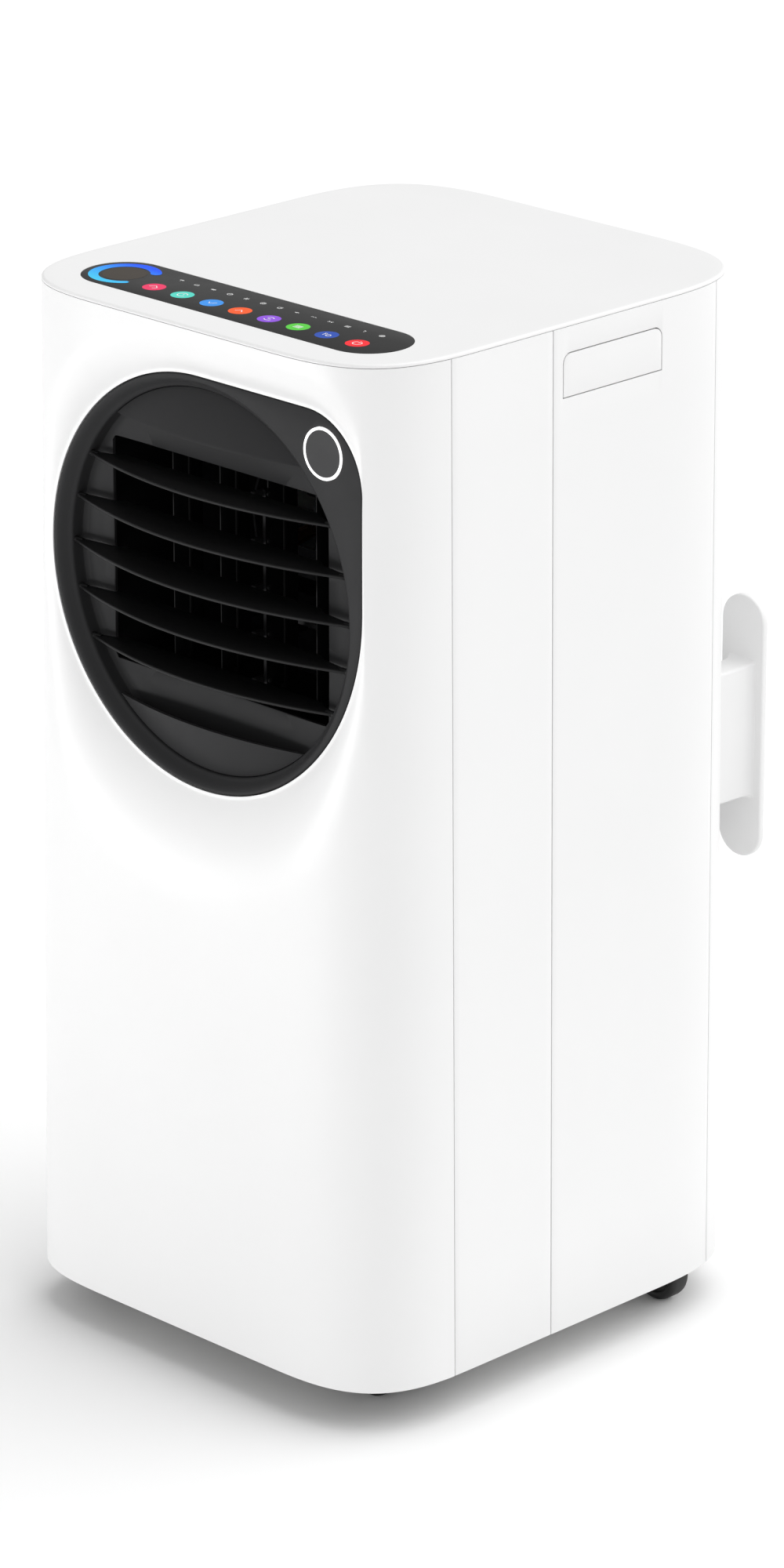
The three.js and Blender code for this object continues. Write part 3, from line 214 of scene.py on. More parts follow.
def cutter_of(vertices, faces):
    mesh = bpy.data.meshes.new("cutter")
    mesh.from_pydata([place(v) for v in vertices], [], faces)
    bm = bmesh.new()
    bm.from_mesh(mesh)
    bmesh.ops.recalc_face_normals(bm, faces=bm.faces)
    bm.to_mesh(mesh)
    bm.free()
    tool = bpy.data.objects.new("cutter", mesh)
    bpy.context.scene.collection.objects.link(tool)
    return tool


def prism(axis, outline, low, high):
    """Vertices and faces of a prism. The outline is (y, z) along x, (x, z) along y and (x, y) along z."""
    spread = {
        "x": lambda a, b, t: (t, a, b),
        "y": lambda a, b, t: (a, t, b),
        "z": lambda a, b, t: (a, b, t),
    }[axis]
    count = len(outline)
    vertices = [spread(a, b, low) for a, b in outline] + [spread(a, b, high) for a, b in outline]
    faces = [tuple(range(count))[::-1], tuple(range(count, 2 * count))]
    faces += [(i, (i + 1) % count, count + (i + 1) % count, count + i) for i in range(count)]
    return vertices, faces


def loft(rings, closed=True, cap_start=False, cap_end=False):
    """Vertices and faces through rings that all hold the same number of points."""
    count = len(rings[0])
    vertices = [p for ring in rings for p in ring]
    faces = []
    for r in range(len(rings) - 1):
        for i in range(count if closed else count - 1):
            a, b = r * count + i, r * count + (i + 1) % count
            faces.append((a, b, b + count, a + count))
    if cap_start:
        faces.append(tuple(range(count))[::-1])
    if cap_end:
        start = (len(rings) - 1) * count
        faces.append(tuple(range(start, start + count)))
    return vertices, faces


def merged(*parts):
    vertices, faces = [], []
    for part_vertices, part_faces in parts:
        base = len(vertices)
        vertices += list(part_vertices)
        faces += [tuple(base + i for i in face) for face in part_faces]
    return vertices, faces


def arc(x, y, radius, start, end, steps):
    angles = np.radians(np.linspace(start, end, steps + 1))
    return [(x + radius * math.cos(a), y + radius * math.sin(a)) for a in angles]


def turned(axis, centre, profile, sides=96):
    """A lathed ring or disc. The profile holds (radius, height) pairs in order, and closes on itself."""
    rings = []
    for step in range(sides):
        a = 2 * math.pi * step / sides
        c, s = math.cos(a), math.sin(a)
        ring = []
        for r, h in profile:
            if axis == "x":
                ring.append((centre[0] + h, centre[1] + r * c, centre[2] + r * s))
            elif axis == "y":
                ring.append((centre[0] + r * s, centre[1] + h, centre[2] + r * c))
            else:
                ring.append((centre[0] + r * c, centre[1] + r * s, centre[2] + h))
        rings.append(ring)
    rings.append(rings[0])
    return loft(rings, closed=True)


def tube(points, radius, sides=16, caps=True):
    """A round bar that follows points."""
    path = [Vector(p) for p in points]
    rings = []
    side = None
    for i, p in enumerate(path):
        ahead = (path[min(i + 1, len(path) - 1)] - path[max(i - 1, 0)]).normalized()
        side = side - ahead * side.dot(ahead) if side else ahead.orthogonal()
        side = side.normalized()
        up = ahead.cross(side)
        ring = []
        for k in range(sides):
            a = 2 * math.pi * k / sides
            ring.append(tuple(p + side * (radius * math.cos(a)) + up * (radius * math.sin(a))))
        rings.append(ring)
    return loft(rings, True, caps, caps)


def box(x0, y0, z0, x1, y1, z1):
    return prism("z", [(x0, y0), (x1, y0), (x1, y1), (x0, y1)], z0, z1)


# ---- The casing's outline -------------------------------------------------------------------------


def corner_arc(steps):
    """A quarter of the squarish corner with even spacing, as (x, y) shares of its radius."""
    t = np.linspace(0, math.pi / 2, 801)
    power = 2 / CORNER_POWER
    x, y = np.cos(t) ** power, np.sin(t) ** power
    x[-1], y[0] = 0.0, 0.0
    run = np.concatenate([[0], np.cumsum(np.hypot(np.diff(x), np.diff(y)))])
    even = np.linspace(0, run[-1], steps + 1)
    return np.interp(even, run, x), np.interp(even, run, y)


def casing_size(z):
    down = (TOP - z) / (TOP - FLOOR_GAP)
    return SIDE_TOP + 6.0 * down, FRONT_TOP + 6.7 * down, REAR_TOP + 1.7 * down


def casing_outline(z, inset=0.0, steps=26, straight=10):
    """The closed outline at a height, as an array of (x, y), anticlockwise from the rear right."""
    side, front, rear = casing_size(z)
    cx, cy = corner_arc(steps)
    rr, rf = REAR_CORNER - inset, FRONT_CORNER - inset
    rear_y, front_y = rear - REAR_CORNER, FRONT_CORNER - front
    rear_x, front_x = side - REAR_CORNER, side - FRONT_CORNER
    rows = [
        np.c_[rear_x + rr * cx, rear_y + rr * cy],
        np.c_[-rear_x - rr * cx[::-1], rear_y + rr * cy[::-1]],
        np.c_[-front_x - rf * cx, front_y - rf * cy],
        np.c_[front_x + rf * cx[::-1], front_y - rf * cy[::-1]],
    ]
    out = []
    for i, row in enumerate(rows):
        out.append(row)
        here, there = row[-1], rows[(i + 1) % 4][0]
        share = np.linspace(0, 1, straight + 1)[1:-1, None]
        out.append(here + (there - here) * share)
    return np.concatenate(out)


def wall_path(z, start, end, count, inset=0.0):
    """Even points along the casing wall at a height. Start and end are (side, y), with side -1 or 1.
    The path runs anticlockwise seen from above: down the left, along the front, up the right."""
    dense = casing_outline(z, inset, 90, 30)
    loop = np.concatenate([dense, dense, dense])
    run = np.concatenate([[0], np.cumsum(np.hypot(*np.diff(loop, axis=0).T))])
    lap = run[len(dense)]

    def station(side, y):
        for i in range(len(dense)):
            a, b = loop[i], loop[i + 1]
            if a[0] * side > 0 and b[0] * side > 0 and abs(a[0]) > 100:
                if (a[1] - y) * (b[1] - y) <= 0 and a[1] != b[1]:
                    return run[i] + (run[i + 1] - run[i]) * (y - a[1]) / (b[1] - a[1])
        raise ValueError(f"the casing has no wall at y {y}")

    s0, s1 = station(*start), station(*end)
    if s1 <= s0:
        s1 += lap
    at = np.linspace(s0, s1, count)
    return np.c_[np.interp(at, run, loop[:, 0]), np.interp(at, run, loop[:, 1])]


def wall_y(x, z, rear=True):
    """The depth of the front or rear wall at a place across its width."""
    side, front, back = casing_size(z)
    reach, radius = (back, REAR_CORNER) if rear else (front, FRONT_CORNER)
    along = min(1.0, max(0.0, abs(x) - (side - radius)) / radius)
    drop = radius * (1 - (1 - along**CORNER_POWER) ** (1 / CORNER_POWER))
    return (reach - drop) * (1 if rear else -1)


def middle_of(node):
    """Where a fitting on the rear wall sits, as (x, z)."""
    low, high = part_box(node)
    return (low.x + high.x) / 2 / MM, (low.z + high.z) / 2 / MM


def wall_panel(name, start, end, across, levels, finish, settings, replaces=()):
    rings = []
    for z in levels:
        rings.append([(x, y, z) for x, y in wall_path(z, start, end, across)])
    vertices, faces = loft(rings, closed=False)
    piece = new_piece(name, vertices, faces, finish, replaces=replaces)
    outward_normals(piece)
    thicken(piece, settings.wall)
    return piece


def outward_normals(piece):
    """Turns an open shell so that its faces look away from the casing's middle."""
    mesh = piece.data
    total = 0.0
    for polygon in mesh.polygons:
        away = polygon.center - Vector((0, SHIFT * MM, polygon.center.z))
        total += polygon.normal.dot(away) * polygon.area
    if total < 0:
        mesh.flip_normals()


# ---- The bezel's outline --------------------------------------------------------------------------


def bezel_outline(grow=0.0, steps=96):
    right, corner, blend = 146.5, 48.0, 155.0
    blend_x = right - blend
    blend_rise = math.sqrt((blend - BEZEL_R) ** 2 - blend_x**2)
    meet = math.degrees(math.atan2(-blend_rise, -blend_x))
    points = arc(right - corner, OUTLET_Z + BEZEL_R - corner, corner + grow, 0, 90, 28)
    points += arc(0, OUTLET_Z, BEZEL_R + grow, 90, 360 + meet, steps)[0:]
    points += arc(blend_x, OUTLET_Z + blend_rise, blend + grow, meet, 0, 28)[1:]
    return np.array(points)


def outline_by_angle(angles, grow=0.0):
    """Points of the bezel's outline in given directions from the outlet's centre."""
    points = bezel_outline(grow, 360)
    ahead = np.roll(points, -1, axis=0)
    points = np.concatenate([a + (b - a) * np.linspace(0, 1, 40)[:-1, None] for a, b in zip(points, ahead)])
    rel = points - np.array([0, OUTLET_Z])
    bearing = np.unwrap(np.arctan2(rel[:, 1], rel[:, 0]))
    reach = np.hypot(rel[:, 0], rel[:, 1])
    order = np.argsort(np.mod(bearing, 2 * math.pi))
    return np.interp(
        np.mod(angles, 2 * math.pi), np.mod(bearing, 2 * math.pi)[order], reach[order], period=2 * math.pi
    )


def distance_to_outline(x, z):
    """How far points lie outside the bezel's outline, in its own plane."""
    points = bezel_outline(0.0, 360)
    a, b = points, np.roll(points, -1, axis=0)
    d = b - a
    p = np.c_[x, z]
    t = np.clip(((p[:, None] - a) * d).sum(-1) / np.maximum((d * d).sum(-1), 1e-9), 0, 1)
    near = a + t[..., None] * d
    return np.sqrt(((p[:, None] - near) ** 2).sum(-1).min(1))


# ---- Finishes -------------------------------------------------------------------------------------


class Finish:
    """A material with its shader, and short ways to add the detail that the surface shows."""

    def __init__(self, name, base, rough, metal=0.0):
        self.material = bpy.data.materials.new(name)
        self.material.use_nodes = True
        self.tree = self.material.node_tree
        self.shader = self.tree.nodes["Principled BSDF"]
        self.shader.inputs["Base Color"].default_value = (*base, 1)
        self.shader.inputs["Roughness"].default_value = rough
        self.shader.inputs["Metallic"].default_value = metal
        self.base, self.rough = base, rough
        self.where = self.tree.nodes.new("ShaderNodeTexCoord")

    def noise(self, scale, detail=4.0, stretch=None):
        noise = self.tree.nodes.new("ShaderNodeTexNoise")
        noise.inputs["Scale"].default_value = scale
        noise.inputs["Detail"].default_value = detail
        source = self.where.outputs["Object"]
        if stretch:
            mapping = self.tree.nodes.new("ShaderNodeMapping")
            mapping.inputs["Scale"].default_value = stretch
            self.tree.links.new(source, mapping.inputs["Vector"])
            source = mapping.outputs["Vector"]
        self.tree.links.new(source, noise.inputs["Vector"])
        return noise.outputs["Fac"]

    def tint(self, factor, other, low=0.3, high=0.7):
        ramp = self.tree.nodes.new("ShaderNodeValToRGB")
        ramp.color_ramp.elements[0].position = low
        ramp.color_ramp.elements[1].position = high
        ramp.color_ramp.elements[0].color = (*self.base, 1)
        ramp.color_ramp.elements[1].color = (*other, 1)
        self.tree.links.new(factor, ramp.inputs["Fac"])
        self.tree.links.new(ramp.outputs["Color"], self.shader.inputs["Base Color"])
        return self

    def vary_roughness(self, factor, spread):
        span = self.tree.nodes.new("ShaderNodeMapRange")
        span.inputs["To Min"].default_value = max(0.02, self.rough - spread)
        span.inputs["To Max"].default_value = min(1.0, self.rough + spread)
        self.tree.links.new(factor, span.inputs["Value"])
        self.tree.links.new(span.outputs["Result"], self.shader.inputs["Roughness"])
        return self

    def bump(self, factor, strength, distance):
        bump = self.tree.nodes.new("ShaderNodeBump")
        bump.inputs["Strength"].default_value = strength
        bump.inputs["Distance"].default_value = distance
        self.tree.links.new(factor, bump.inputs["Height"])
        self.tree.links.new(bump.outputs["Normal"], self.shader.inputs["Normal"])
        return self

    def dull(self, level):
        self.shader.inputs["Specular IOR Level"].default_value = level
        return self

    def lit(self, strength):
        self.shader.inputs["Emission Color"].default_value = (*self.base, 1)
        self.shader.inputs["Emission Strength"].default_value = strength
        return self


def moulded(name, base, rough, grain=2600.0, depth=0.00002, shade=0.97, strength=0.25, gloss=0.5):
    finish = Finish(name, base, rough).dull(gloss)
    darker = tuple(c * shade for c in base)
    finish.tint(finish.noise(7.0, 3.0), darker)
    finish.vary_roughness(finish.noise(55.0, 5.0), 0.06)
    finish.bump(finish.noise(grain, 2.0), strength, depth)
    return finish.material


def metal(name, base, rough, stretch=(1, 1, 1), scale=300.0):
    finish = Finish(name, base, rough, 1.0)
    finish.tint(finish.noise(30.0, 4.0), tuple(c * 0.8 for c in base))
    finish.vary_roughness(finish.noise(scale, 6.0, stretch), 0.12)
    finish.bump(finish.noise(scale * 2, 3.0, stretch), 0.2, 0.00003)
    return finish.material


def make_finishes(scene):
    casing, outlet, touch = scene.unit_casing, scene.unit_outlet, scene.unit_touch
    white, black = tuple(casing.white), tuple(outlet.black)
    finishes = {
        "casing": moulded("casing_white", white, 0.36, 3200.0, 0.000008, 0.985, 0.12),
        "winder": moulded("winder_grained_white", white, 0.6, 1400.0, 0.0001, 0.93, 0.6),
        "bezel": moulded("bezel_black", black, 0.42, 2800.0, 0.00001, 0.9, 0.15, 0.07),
        # The vanes take the bezel's black at 0.4 times its value: painted shade for the deep pocket they sit
        # in, so the same plastic reads darker on the vanes than on the bezel.
        "vane": moulded("vane_black_painted_shade", tuple(c * 0.4 for c in black), 0.38, 2400.0, 0.00001, 0.88, 0.2, 0.12),
        "dark": moulded("dark_trim", (0.004, 0.004, 0.0045), 0.5, 2200.0, 0.00002, 0.8, 0.25, 0.15),
        "grey": moulded("grey_plastic", (0.5, 0.5, 0.49), 0.6),
        "foam": moulded("expanded_foam", (0.7, 0.7, 0.69), 0.9, 500.0, 0.0004, 0.9, 0.8),
        "fan": moulded("fan_black", (0.015, 0.015, 0.017), 0.45),
        "mesh": moulded("filter_mesh", (0.1, 0.11, 0.13), 0.8, 1200.0, 0.0002, 0.7, 0.8),
        "rubber": moulded("caster_black", (0.01, 0.01, 0.01), 0.55, 900.0, 0.00005, 0.8, 0.4),
        "board": moulded("circuit_green", (0.02, 0.13, 0.05), 0.4, 600.0, 0.0001, 0.6),
        "enamel": moulded("compressor_black", (0.012, 0.012, 0.014), 0.3, 400.0, 0.0001, 0.8),
        "steel": metal("plated_steel", (0.55, 0.56, 0.57), 0.35),
        "copper": metal("copper_tube", (0.72, 0.4, 0.25), 0.3, (1, 1, 0.1)),
        "fins": metal("aluminium_fins", (0.75, 0.76, 0.78), 0.4, (60, 1, 1), 200.0),
        "lens": moulded("lens_dark", tuple(c * 1.3 for c in black), 0.3, 900.0, 0.00001, 0.92, 0.1, 0.07),
        "knob": moulded("touch_dial", (0.078, 0.069, 0.06), 0.5, 2000.0, 0.00002, 0.85, 0.2, 0.02),
    }
    glass = Finish("touch_glass", tuple(touch.glass), 0.34).dull(0.02)
    glass.tint(glass.noise(9.0, 2.0), tuple(c * 0.92 for c in touch.glass))
    glass.vary_roughness(glass.noise(80.0, 5.0), 0.05)
    glass.bump(glass.noise(500.0, 2.0), 0.05, 0.00001)
    finishes["glass"] = glass.material
    finishes["ring"] = printed("status_ring_white", tuple(outlet.ring), 0.7)
    return finishes


def printed(name, base, glow=0.0):
    """Ink behind the glass, a little uneven, with a faint glow from the lamp behind it."""
    finish = Finish(name, base, 0.4).dull(0.03)
    finish.tint(finish.noise(420.0, 3.0), tuple(c * 0.9 for c in base), 0.35, 0.75)
    finish.vary_roughness(finish.noise(200.0, 3.0), 0.05)
    finish.bump(finish.noise(1500.0, 2.0), 0.05, 0.00001)
    if glow:
        finish.lit(glow)
    return finish.material


FINISHES = {}


# ---- Casing pieces --------------------------------------------------------------------------------


class OBJECT_OT_unit_front_panel(bpy.types.Operator):
    """Front panel with the soft dish that runs down to the air outlet"""

    bl_idname = "object.unit_front_panel"
    bl_label = "Front panel"

    def execute(self, context):
        casing, outlet = context.scene.unit_casing, context.scene.unit_outlet
        seam = casing.seam / MM / 2
        start, end = (-1, SEAMS["front"] - seam), (1, SEAMS["front"] - seam)
        split = 330.0
        half_run = 250.0
        levels = np.linspace(FLOOR_GAP, PANEL_TOP, 60)
        table = np.array([wall_path(z, start, end, 401) for z in levels])
        share = np.linspace(-1, 1, 401)

        def surface(u, z):
            row = np.clip((z - levels[0]) / (levels[1] - levels[0]), 0, len(levels) - 1.000001)
            low = row.astype(int)
            part = row - low
            col = np.clip((u + 1) / 2 * 400, 0, 399.999999)
            left = col.astype(int)
            across = col - left

            def pick(k):
                a = table[low, left, k] * (1 - across) + table[low, left + 1, k] * across
                b = table[low + 1, left, k] * (1 - across) + table[low + 1, left + 1, k] * across
                return a * (1 - part) + b * part

            return pick(0), pick(1)

        def share_at(x, z):
            out = []
            for xi, zi in zip(x, z):
                row = wall_path(zi, start, end, 401)
                widest = np.argmax(row[:, 0])
                narrow = np.argmin(row[:, 0])
                out.append(np.interp(xi, row[narrow : widest + 1, 0], share[narrow : widest + 1]))
            return np.array(out)

        # Rays run from the bezel to the edge of the panel's upper part.
        per_side, lower = 60, 72
        corners = [(1, split), (1, PANEL_TOP), (-1, PANEL_TOP), (-1, split)]
        edge = []
        for i, count in enumerate([per_side, lower, per_side, lower]):
            a, b = np.array(corners[i]), np.array(corners[(i + 1) % 4])
            edge += [a + (b - a) * k / count for k in range(count)]
        edge = np.array(edge)
        bearing = np.arctan2(edge[:, 1] - OUTLET_Z, edge[:, 0] * half_run)
        reach = outline_by_angle(bearing, 0.35)
        x0, z0 = reach * np.cos(bearing), OUTLET_Z + reach * np.sin(bearing)
        u0 = share_at(x0, z0)
        rings = []
        steps = 46
        for k in range(steps + 1):
            t = (k / steps) ** 1.55
            u = u0 + (edge[:, 0] - u0) * t
            z = z0 + (edge[:, 1] - z0) * t
            x, y = surface(u, z)
            rings.append(self.dished(x, y, z, outlet, k == 0))
        upper = loft(rings, closed=True)
        # The return edge that runs back beside the bezel.
        hem = [[(x, max(y + 0.2, BEZEL_Y + 3.2), z) for x, y, z in rings[0]], rings[0]]
        rim = loft(hem, closed=True)
        below = []
        base_u = [p[0] for p in edge[per_side * 2 + lower :]] + [1.0]
        for z in np.linspace(split, FLOOR_GAP, 26):
            u = np.array(base_u)
            x, y = surface(u, np.full(len(u), z))
            below.append(self.dished(x, y, np.full(len(u), z), outlet, False))
        lower_part = loft(below, closed=False)
        vertices, faces = merged(upper, rim, lower_part)
        piece = new_piece(
            "front_panel_shell",
            vertices,
            faces,
            FINISHES["casing"],
            replaces=["front_panel"],
            sharp=50.0,
        )
        outward_normals(piece)
        skin = piece.modifiers.new("wall", "SOLIDIFY")
        skin.thickness = casing.wall * 0.8
        skin.offset = -1.0
        apply_modifiers(piece, 50.0)
        return {"FINISHED"}

    @staticmethod
    def dished(x, y, z, outlet, at_edge):
        """Pushes the panel's surface back round the bezel, so that it meets the bezel's plane."""
        gap = np.zeros(len(x)) if at_edge else distance_to_outline(x, z)
        up = (z - OUTLET_Z) / np.maximum(np.hypot(x, z - OUTLET_Z), 1.0)
        above, below, beside = (v / MM for v in (outlet.fade_above, outlet.fade_below, outlet.fade_side))
        rise, fall = np.clip(up, 0, 1) ** 2, np.clip(-up, 0, 1) ** 2
        fade = beside * (1 - rise - fall) + above * rise + below * fall
        lip = outlet.lip / MM
        t = np.clip((gap - lip) / fade, 0, 1)
        weight = (1 - t) ** 2
        depth = np.maximum(BEZEL_Y - y, 0.0)
        sunk = y + depth * np.clip(weight, 0, 1)
        return list(zip(x.tolist(), sunk.tolist(), z.tolist()))


class OBJECT_OT_unit_side_panels(bpy.types.Operator):
    """Side strips and side panels, each with its hand opening"""

    bl_idname = "object.unit_side_panels"
    bl_label = "Side panels"

    def execute(self, context):
        casing = context.scene.unit_casing
        seam = casing.seam / MM / 2
        levels = np.linspace(FLOOR_GAP, PANEL_TOP, 12)
        for name, side in (("left", -1), ("right", 1)):
            spans = {
                "strip": (SEAMS["front"] + seam, SEAMS["strip"] - seam, 18),
                "panel": (SEAMS["strip"] + seam, SEAMS["rear"] - seam, 34),
            }
            for kind, (low, high, across) in spans.items():
                ends = ((side, low), (side, high)) if side > 0 else ((side, high), (side, low))
                piece = wall_panel(
                    f"side_{kind}_{name}_shell",
                    *ends,
                    across,
                    levels,
                    FINISHES["casing"],
                    casing,
                    [f"side_{kind}_{name}"],
                )
                if kind == "panel":
                    reach = (100, 220) if side > 0 else (-220, -100)
                    carve(piece, cutter_of(*prism("x", handle_outline(0.0), *reach)))
                ease_edges(piece, casing.edge, 2, 50.0)
        return {"FINISHED"}


def handle_outline(grow):
    half_y, half_z = (half + grow for half in HANDLE_HALF)
    y0, y1 = HANDLE_Y - half_y, HANDLE_Y + half_y
    z0, z1 = HANDLE_Z - half_z, HANDLE_Z + half_z
    corner = HANDLE_CORNER + grow
    return [
        (y0, z0),
        (y1, z0),
        *arc(y1 - corner, z1 - corner, corner, 0, 90, 10),
        *arc(y0 + corner, z1 - corner, corner, 90, 180, 10),
    ]


class OBJECT_OT_unit_handles(bpy.types.Operator):
    """Push-in hand flaps with their hinge lugs and pins"""

    bl_idname = "object.unit_handles"
    bl_label = "Hand flaps"

    def execute(self, context):
        casing = context.scene.unit_casing
        for name, side in (("left", -1), ("right", 1)):
            face = abs(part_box(f"handle_flap_{name}")[1 if side > 0 else 0].x) / MM
            half, corner = HANDLE_HALF[0] - HANDLE_GAP, HANDLE_CORNER - HANDLE_GAP
            low, top = (HANDLE_Z + way * (HANDLE_HALF[1] - HANDLE_GAP) for way in (-1, 1))
            bends = [corner * (1 - math.cos(math.radians(a))) for a in range(0, 91, 9)]
            across = [-half + b for b in bends] + list(np.linspace(corner - half, half - corner, 14)[1:-1])
            across += [half - b for b in bends[::-1]]
            rings = []
            for a in across:
                bend = max(0.0, abs(a) - (half - corner))
                high = top - corner + math.sqrt(max(corner**2 - bend**2, 0.0))
                y = HANDLE_Y + a
                rings.append(
                    [
                        (side * self.wall_x(y, low), y, low),
                        (side * self.wall_x(y, high), y, high),
                        (side * (self.wall_x(y, high) - FLAP_THICKNESS), y, high),
                        (side * (self.wall_x(y, low) - FLAP_THICKNESS), y, low),
                    ]
                )
            vertices, faces = loft(rings, True, True, True)
            hinge_z = HANDLE_Z + HANDLE_HALF[1] - FLAP_HINGE_DROP
            hinge_x = side * (face - FLAP_HINGE_DEPTH)
            parts = [(vertices, faces)]
            for way in (-1, 1):
                end = HANDLE_Y + way * 43.6
                lug = end - way * 5
                reach = HANDLE_Y + way * (HANDLE_HALF[0] + 2.6)
                low_x, high_x = sorted((hinge_x - side * 1.6, side * (face - 2.0)))
                parts.append(box(low_x, min(lug, end), hinge_z - 2.4, high_x, max(lug, end), hinge_z + 0.6))
                parts.append(tube([(hinge_x, lug, hinge_z), (hinge_x, reach, hinge_z)], 1.5, 20))
            vertices, faces = merged(*parts)
            piece = new_piece(
                f"handle_flap_{name}_plate",
                vertices,
                faces,
                FINISHES["casing"],
                f"handle_flap_{name}",
                [f"handle_flap_{name}"],
            )
            ease_edges(piece, casing.edge * 1.3, 2, 50.0)
        return {"FINISHED"}

    @staticmethod
    def wall_x(y, z):
        side, _, rear = casing_size(z)
        along = min(1.0, max(0.0, y - (rear - REAR_CORNER)) / REAR_CORNER)
        return side - REAR_CORNER * (1 - (1 - along**CORNER_POWER) ** (1 / CORNER_POWER))


class OBJECT_OT_unit_rear_panel(bpy.types.Operator):
    """Rear panel with its two grilles"""

    bl_idname = "object.unit_rear_panel"
    bl_label = "Rear panel and grilles"

    def execute(self, context):
        casing = context.scene.unit_casing
        seam = casing.seam / MM / 2
        levels = np.linspace(FLOOR_GAP, PANEL_TOP, 14)
        ends = ((1, SEAMS["rear"] + seam), (-1, SEAMS["rear"] + seam))
        piece = wall_panel(
            "rear_panel_shell", *ends, 90, levels, FINISHES["casing"], casing, ["rear_panel"]
        )
        openings = {
            "filter_grille": (-120.0, 120.0, 482.0, 690.0),
            "intake_grille": (-120.0, 90.0, 92.0, 284.0),
        }
        cutters = []
        for x0, x1, z0, z1 in openings.values():
            outline = rounded(x0 - 0.4, z0 - 0.4, x1 + 0.4, z1 + 0.4, 6)
            cutters.append(cutter_of(*prism("y", outline, 120, 260)))
        port_x, port_z = middle_of("exhaust_collar")
        cutters.append(cutter_of(*prism("y", arc(port_x, port_z, 66.4, 0, 360, 96)[:-1], 120, 260)))
        for fitting, radius in (("cord_gland", 7.4), ("drain_cap", 6.4)):
            outline = arc(*middle_of(fitting), radius, 0, 360, 32)[:-1]
            cutters.append(cutter_of(*prism("y", outline, 120, 260)))
        carve(piece, *cutters)
        ease_edges(piece, casing.edge, 2, 50.0)
        for name, (x0, x1, z0, z1) in openings.items():
            body = "filter_door" if name == "filter_grille" else "casing"
            self.grille(name, body, x0, x1, z0, z1)
        return {"FINISHED"}

    @staticmethod
    def grille(name, body, x0, x1, z0, z1):
        """A frame with slats that follow the curve of the rear wall."""
        wall = 3.0
        parts = []

        def strip(low, high, left, right, depth_low, depth_high):
            count = 40
            rings = []
            for x in np.linspace(left, right, count):
                y_low, y_high = wall_y(x, low), wall_y(x, high)
                rings.append(
                    [
                        (x, y_low - depth_high, low),
                        (x, y_low - depth_low, low),
                        (x, y_high - depth_low, high),
                        (x, y_high - depth_high, high),
                    ]
                )
            parts.append(loft(rings, True, True, True))

        border = 9.0
        strip(z1 - border, z1, x0, x1, 0, wall)
        strip(z0, z0 + border, x0, x1, 0, wall)
        middle = (x0 + x1) / 2
        for left, right in ((x0, x0 + border), (x1 - border, x1), (middle - 3, middle + 3)):
            strip(z0 + border - 0.5, z1 - border + 0.5, left, right, 0, wall)
        pitch = 7.6
        count = int((z1 - z0 - 2 * border) / pitch)
        first = (z0 + z1 - count * pitch) / 2
        for row in range(count):
            low = first + row * pitch + 1.4
            strip(low, low + 2.6, x0 + border - 1, x1 - border + 1, 0.5, 2.9)
        vertices, faces = merged(*parts)
        piece = new_piece(f"{name}_slats", vertices, faces, FINISHES["casing"], body, [name])
        ease_edges(piece, 0.0005, 2, 50.0)


def rounded(x0, z0, x1, z1, radius, steps=6):
    return [
        *arc(x1 - radius, z1 - radius, radius, 0, 90, steps),
        *arc(x0 + radius, z1 - radius, radius, 90, 180, steps),
        *arc(x0 + radius, z0 + radius, radius, 180, 270, steps),
        *arc(x1 - radius, z0 + radius, radius, 270, 360, steps),
    ]


class OBJECT_OT_unit_lid(bpy.types.Operator):
    """Lid with its eased edge and the pocket for the touch strip"""

    bl_idname = "object.unit_lid"
    bl_label = "Lid"

    def execute(self, context):
        low = TOP - 2.2
        profile = [(low, 3.4), (low, 0.0), (TOP - 1.7, 0.0)]
        for k in range(1, 7):
            a = math.radians(15 * k)
            profile.append((TOP - 1.7 + 1.7 * math.sin(a), 1.7 - 1.7 * math.cos(a)))
        profile += [(TOP, 6.0)]
        rings = [[(x, y, z) for x, y in casing_outline(z, inset, 26, 24)] for z, inset in profile]
        under = [[(x, y, z) for x, y in casing_outline(z, 3.4, 26, 24)] for z in (TOP - 12, low)]
        vertices, faces = loft([*under, *rings], True, True, True)
        piece = new_piece(
            "top_cover_lid", vertices, faces, FINISHES["casing"], replaces=["top_cover"]
        )
        carve(piece, cutter_of(*prism("z", stadium(0.15), TOP - 2.4, TOP + 5)))
        return {"FINISHED"}


def stadium(grow=0.0, steps=32):
    reach, radius, y = 139.7 - 28.4, 28.4 + grow, -126.9
    return [*arc(reach, y, radius, -90, 90, steps), *arc(-reach, y, radius, 90, 270, steps)]


# ---- Touch strip ----------------------------------------------------------------------------------


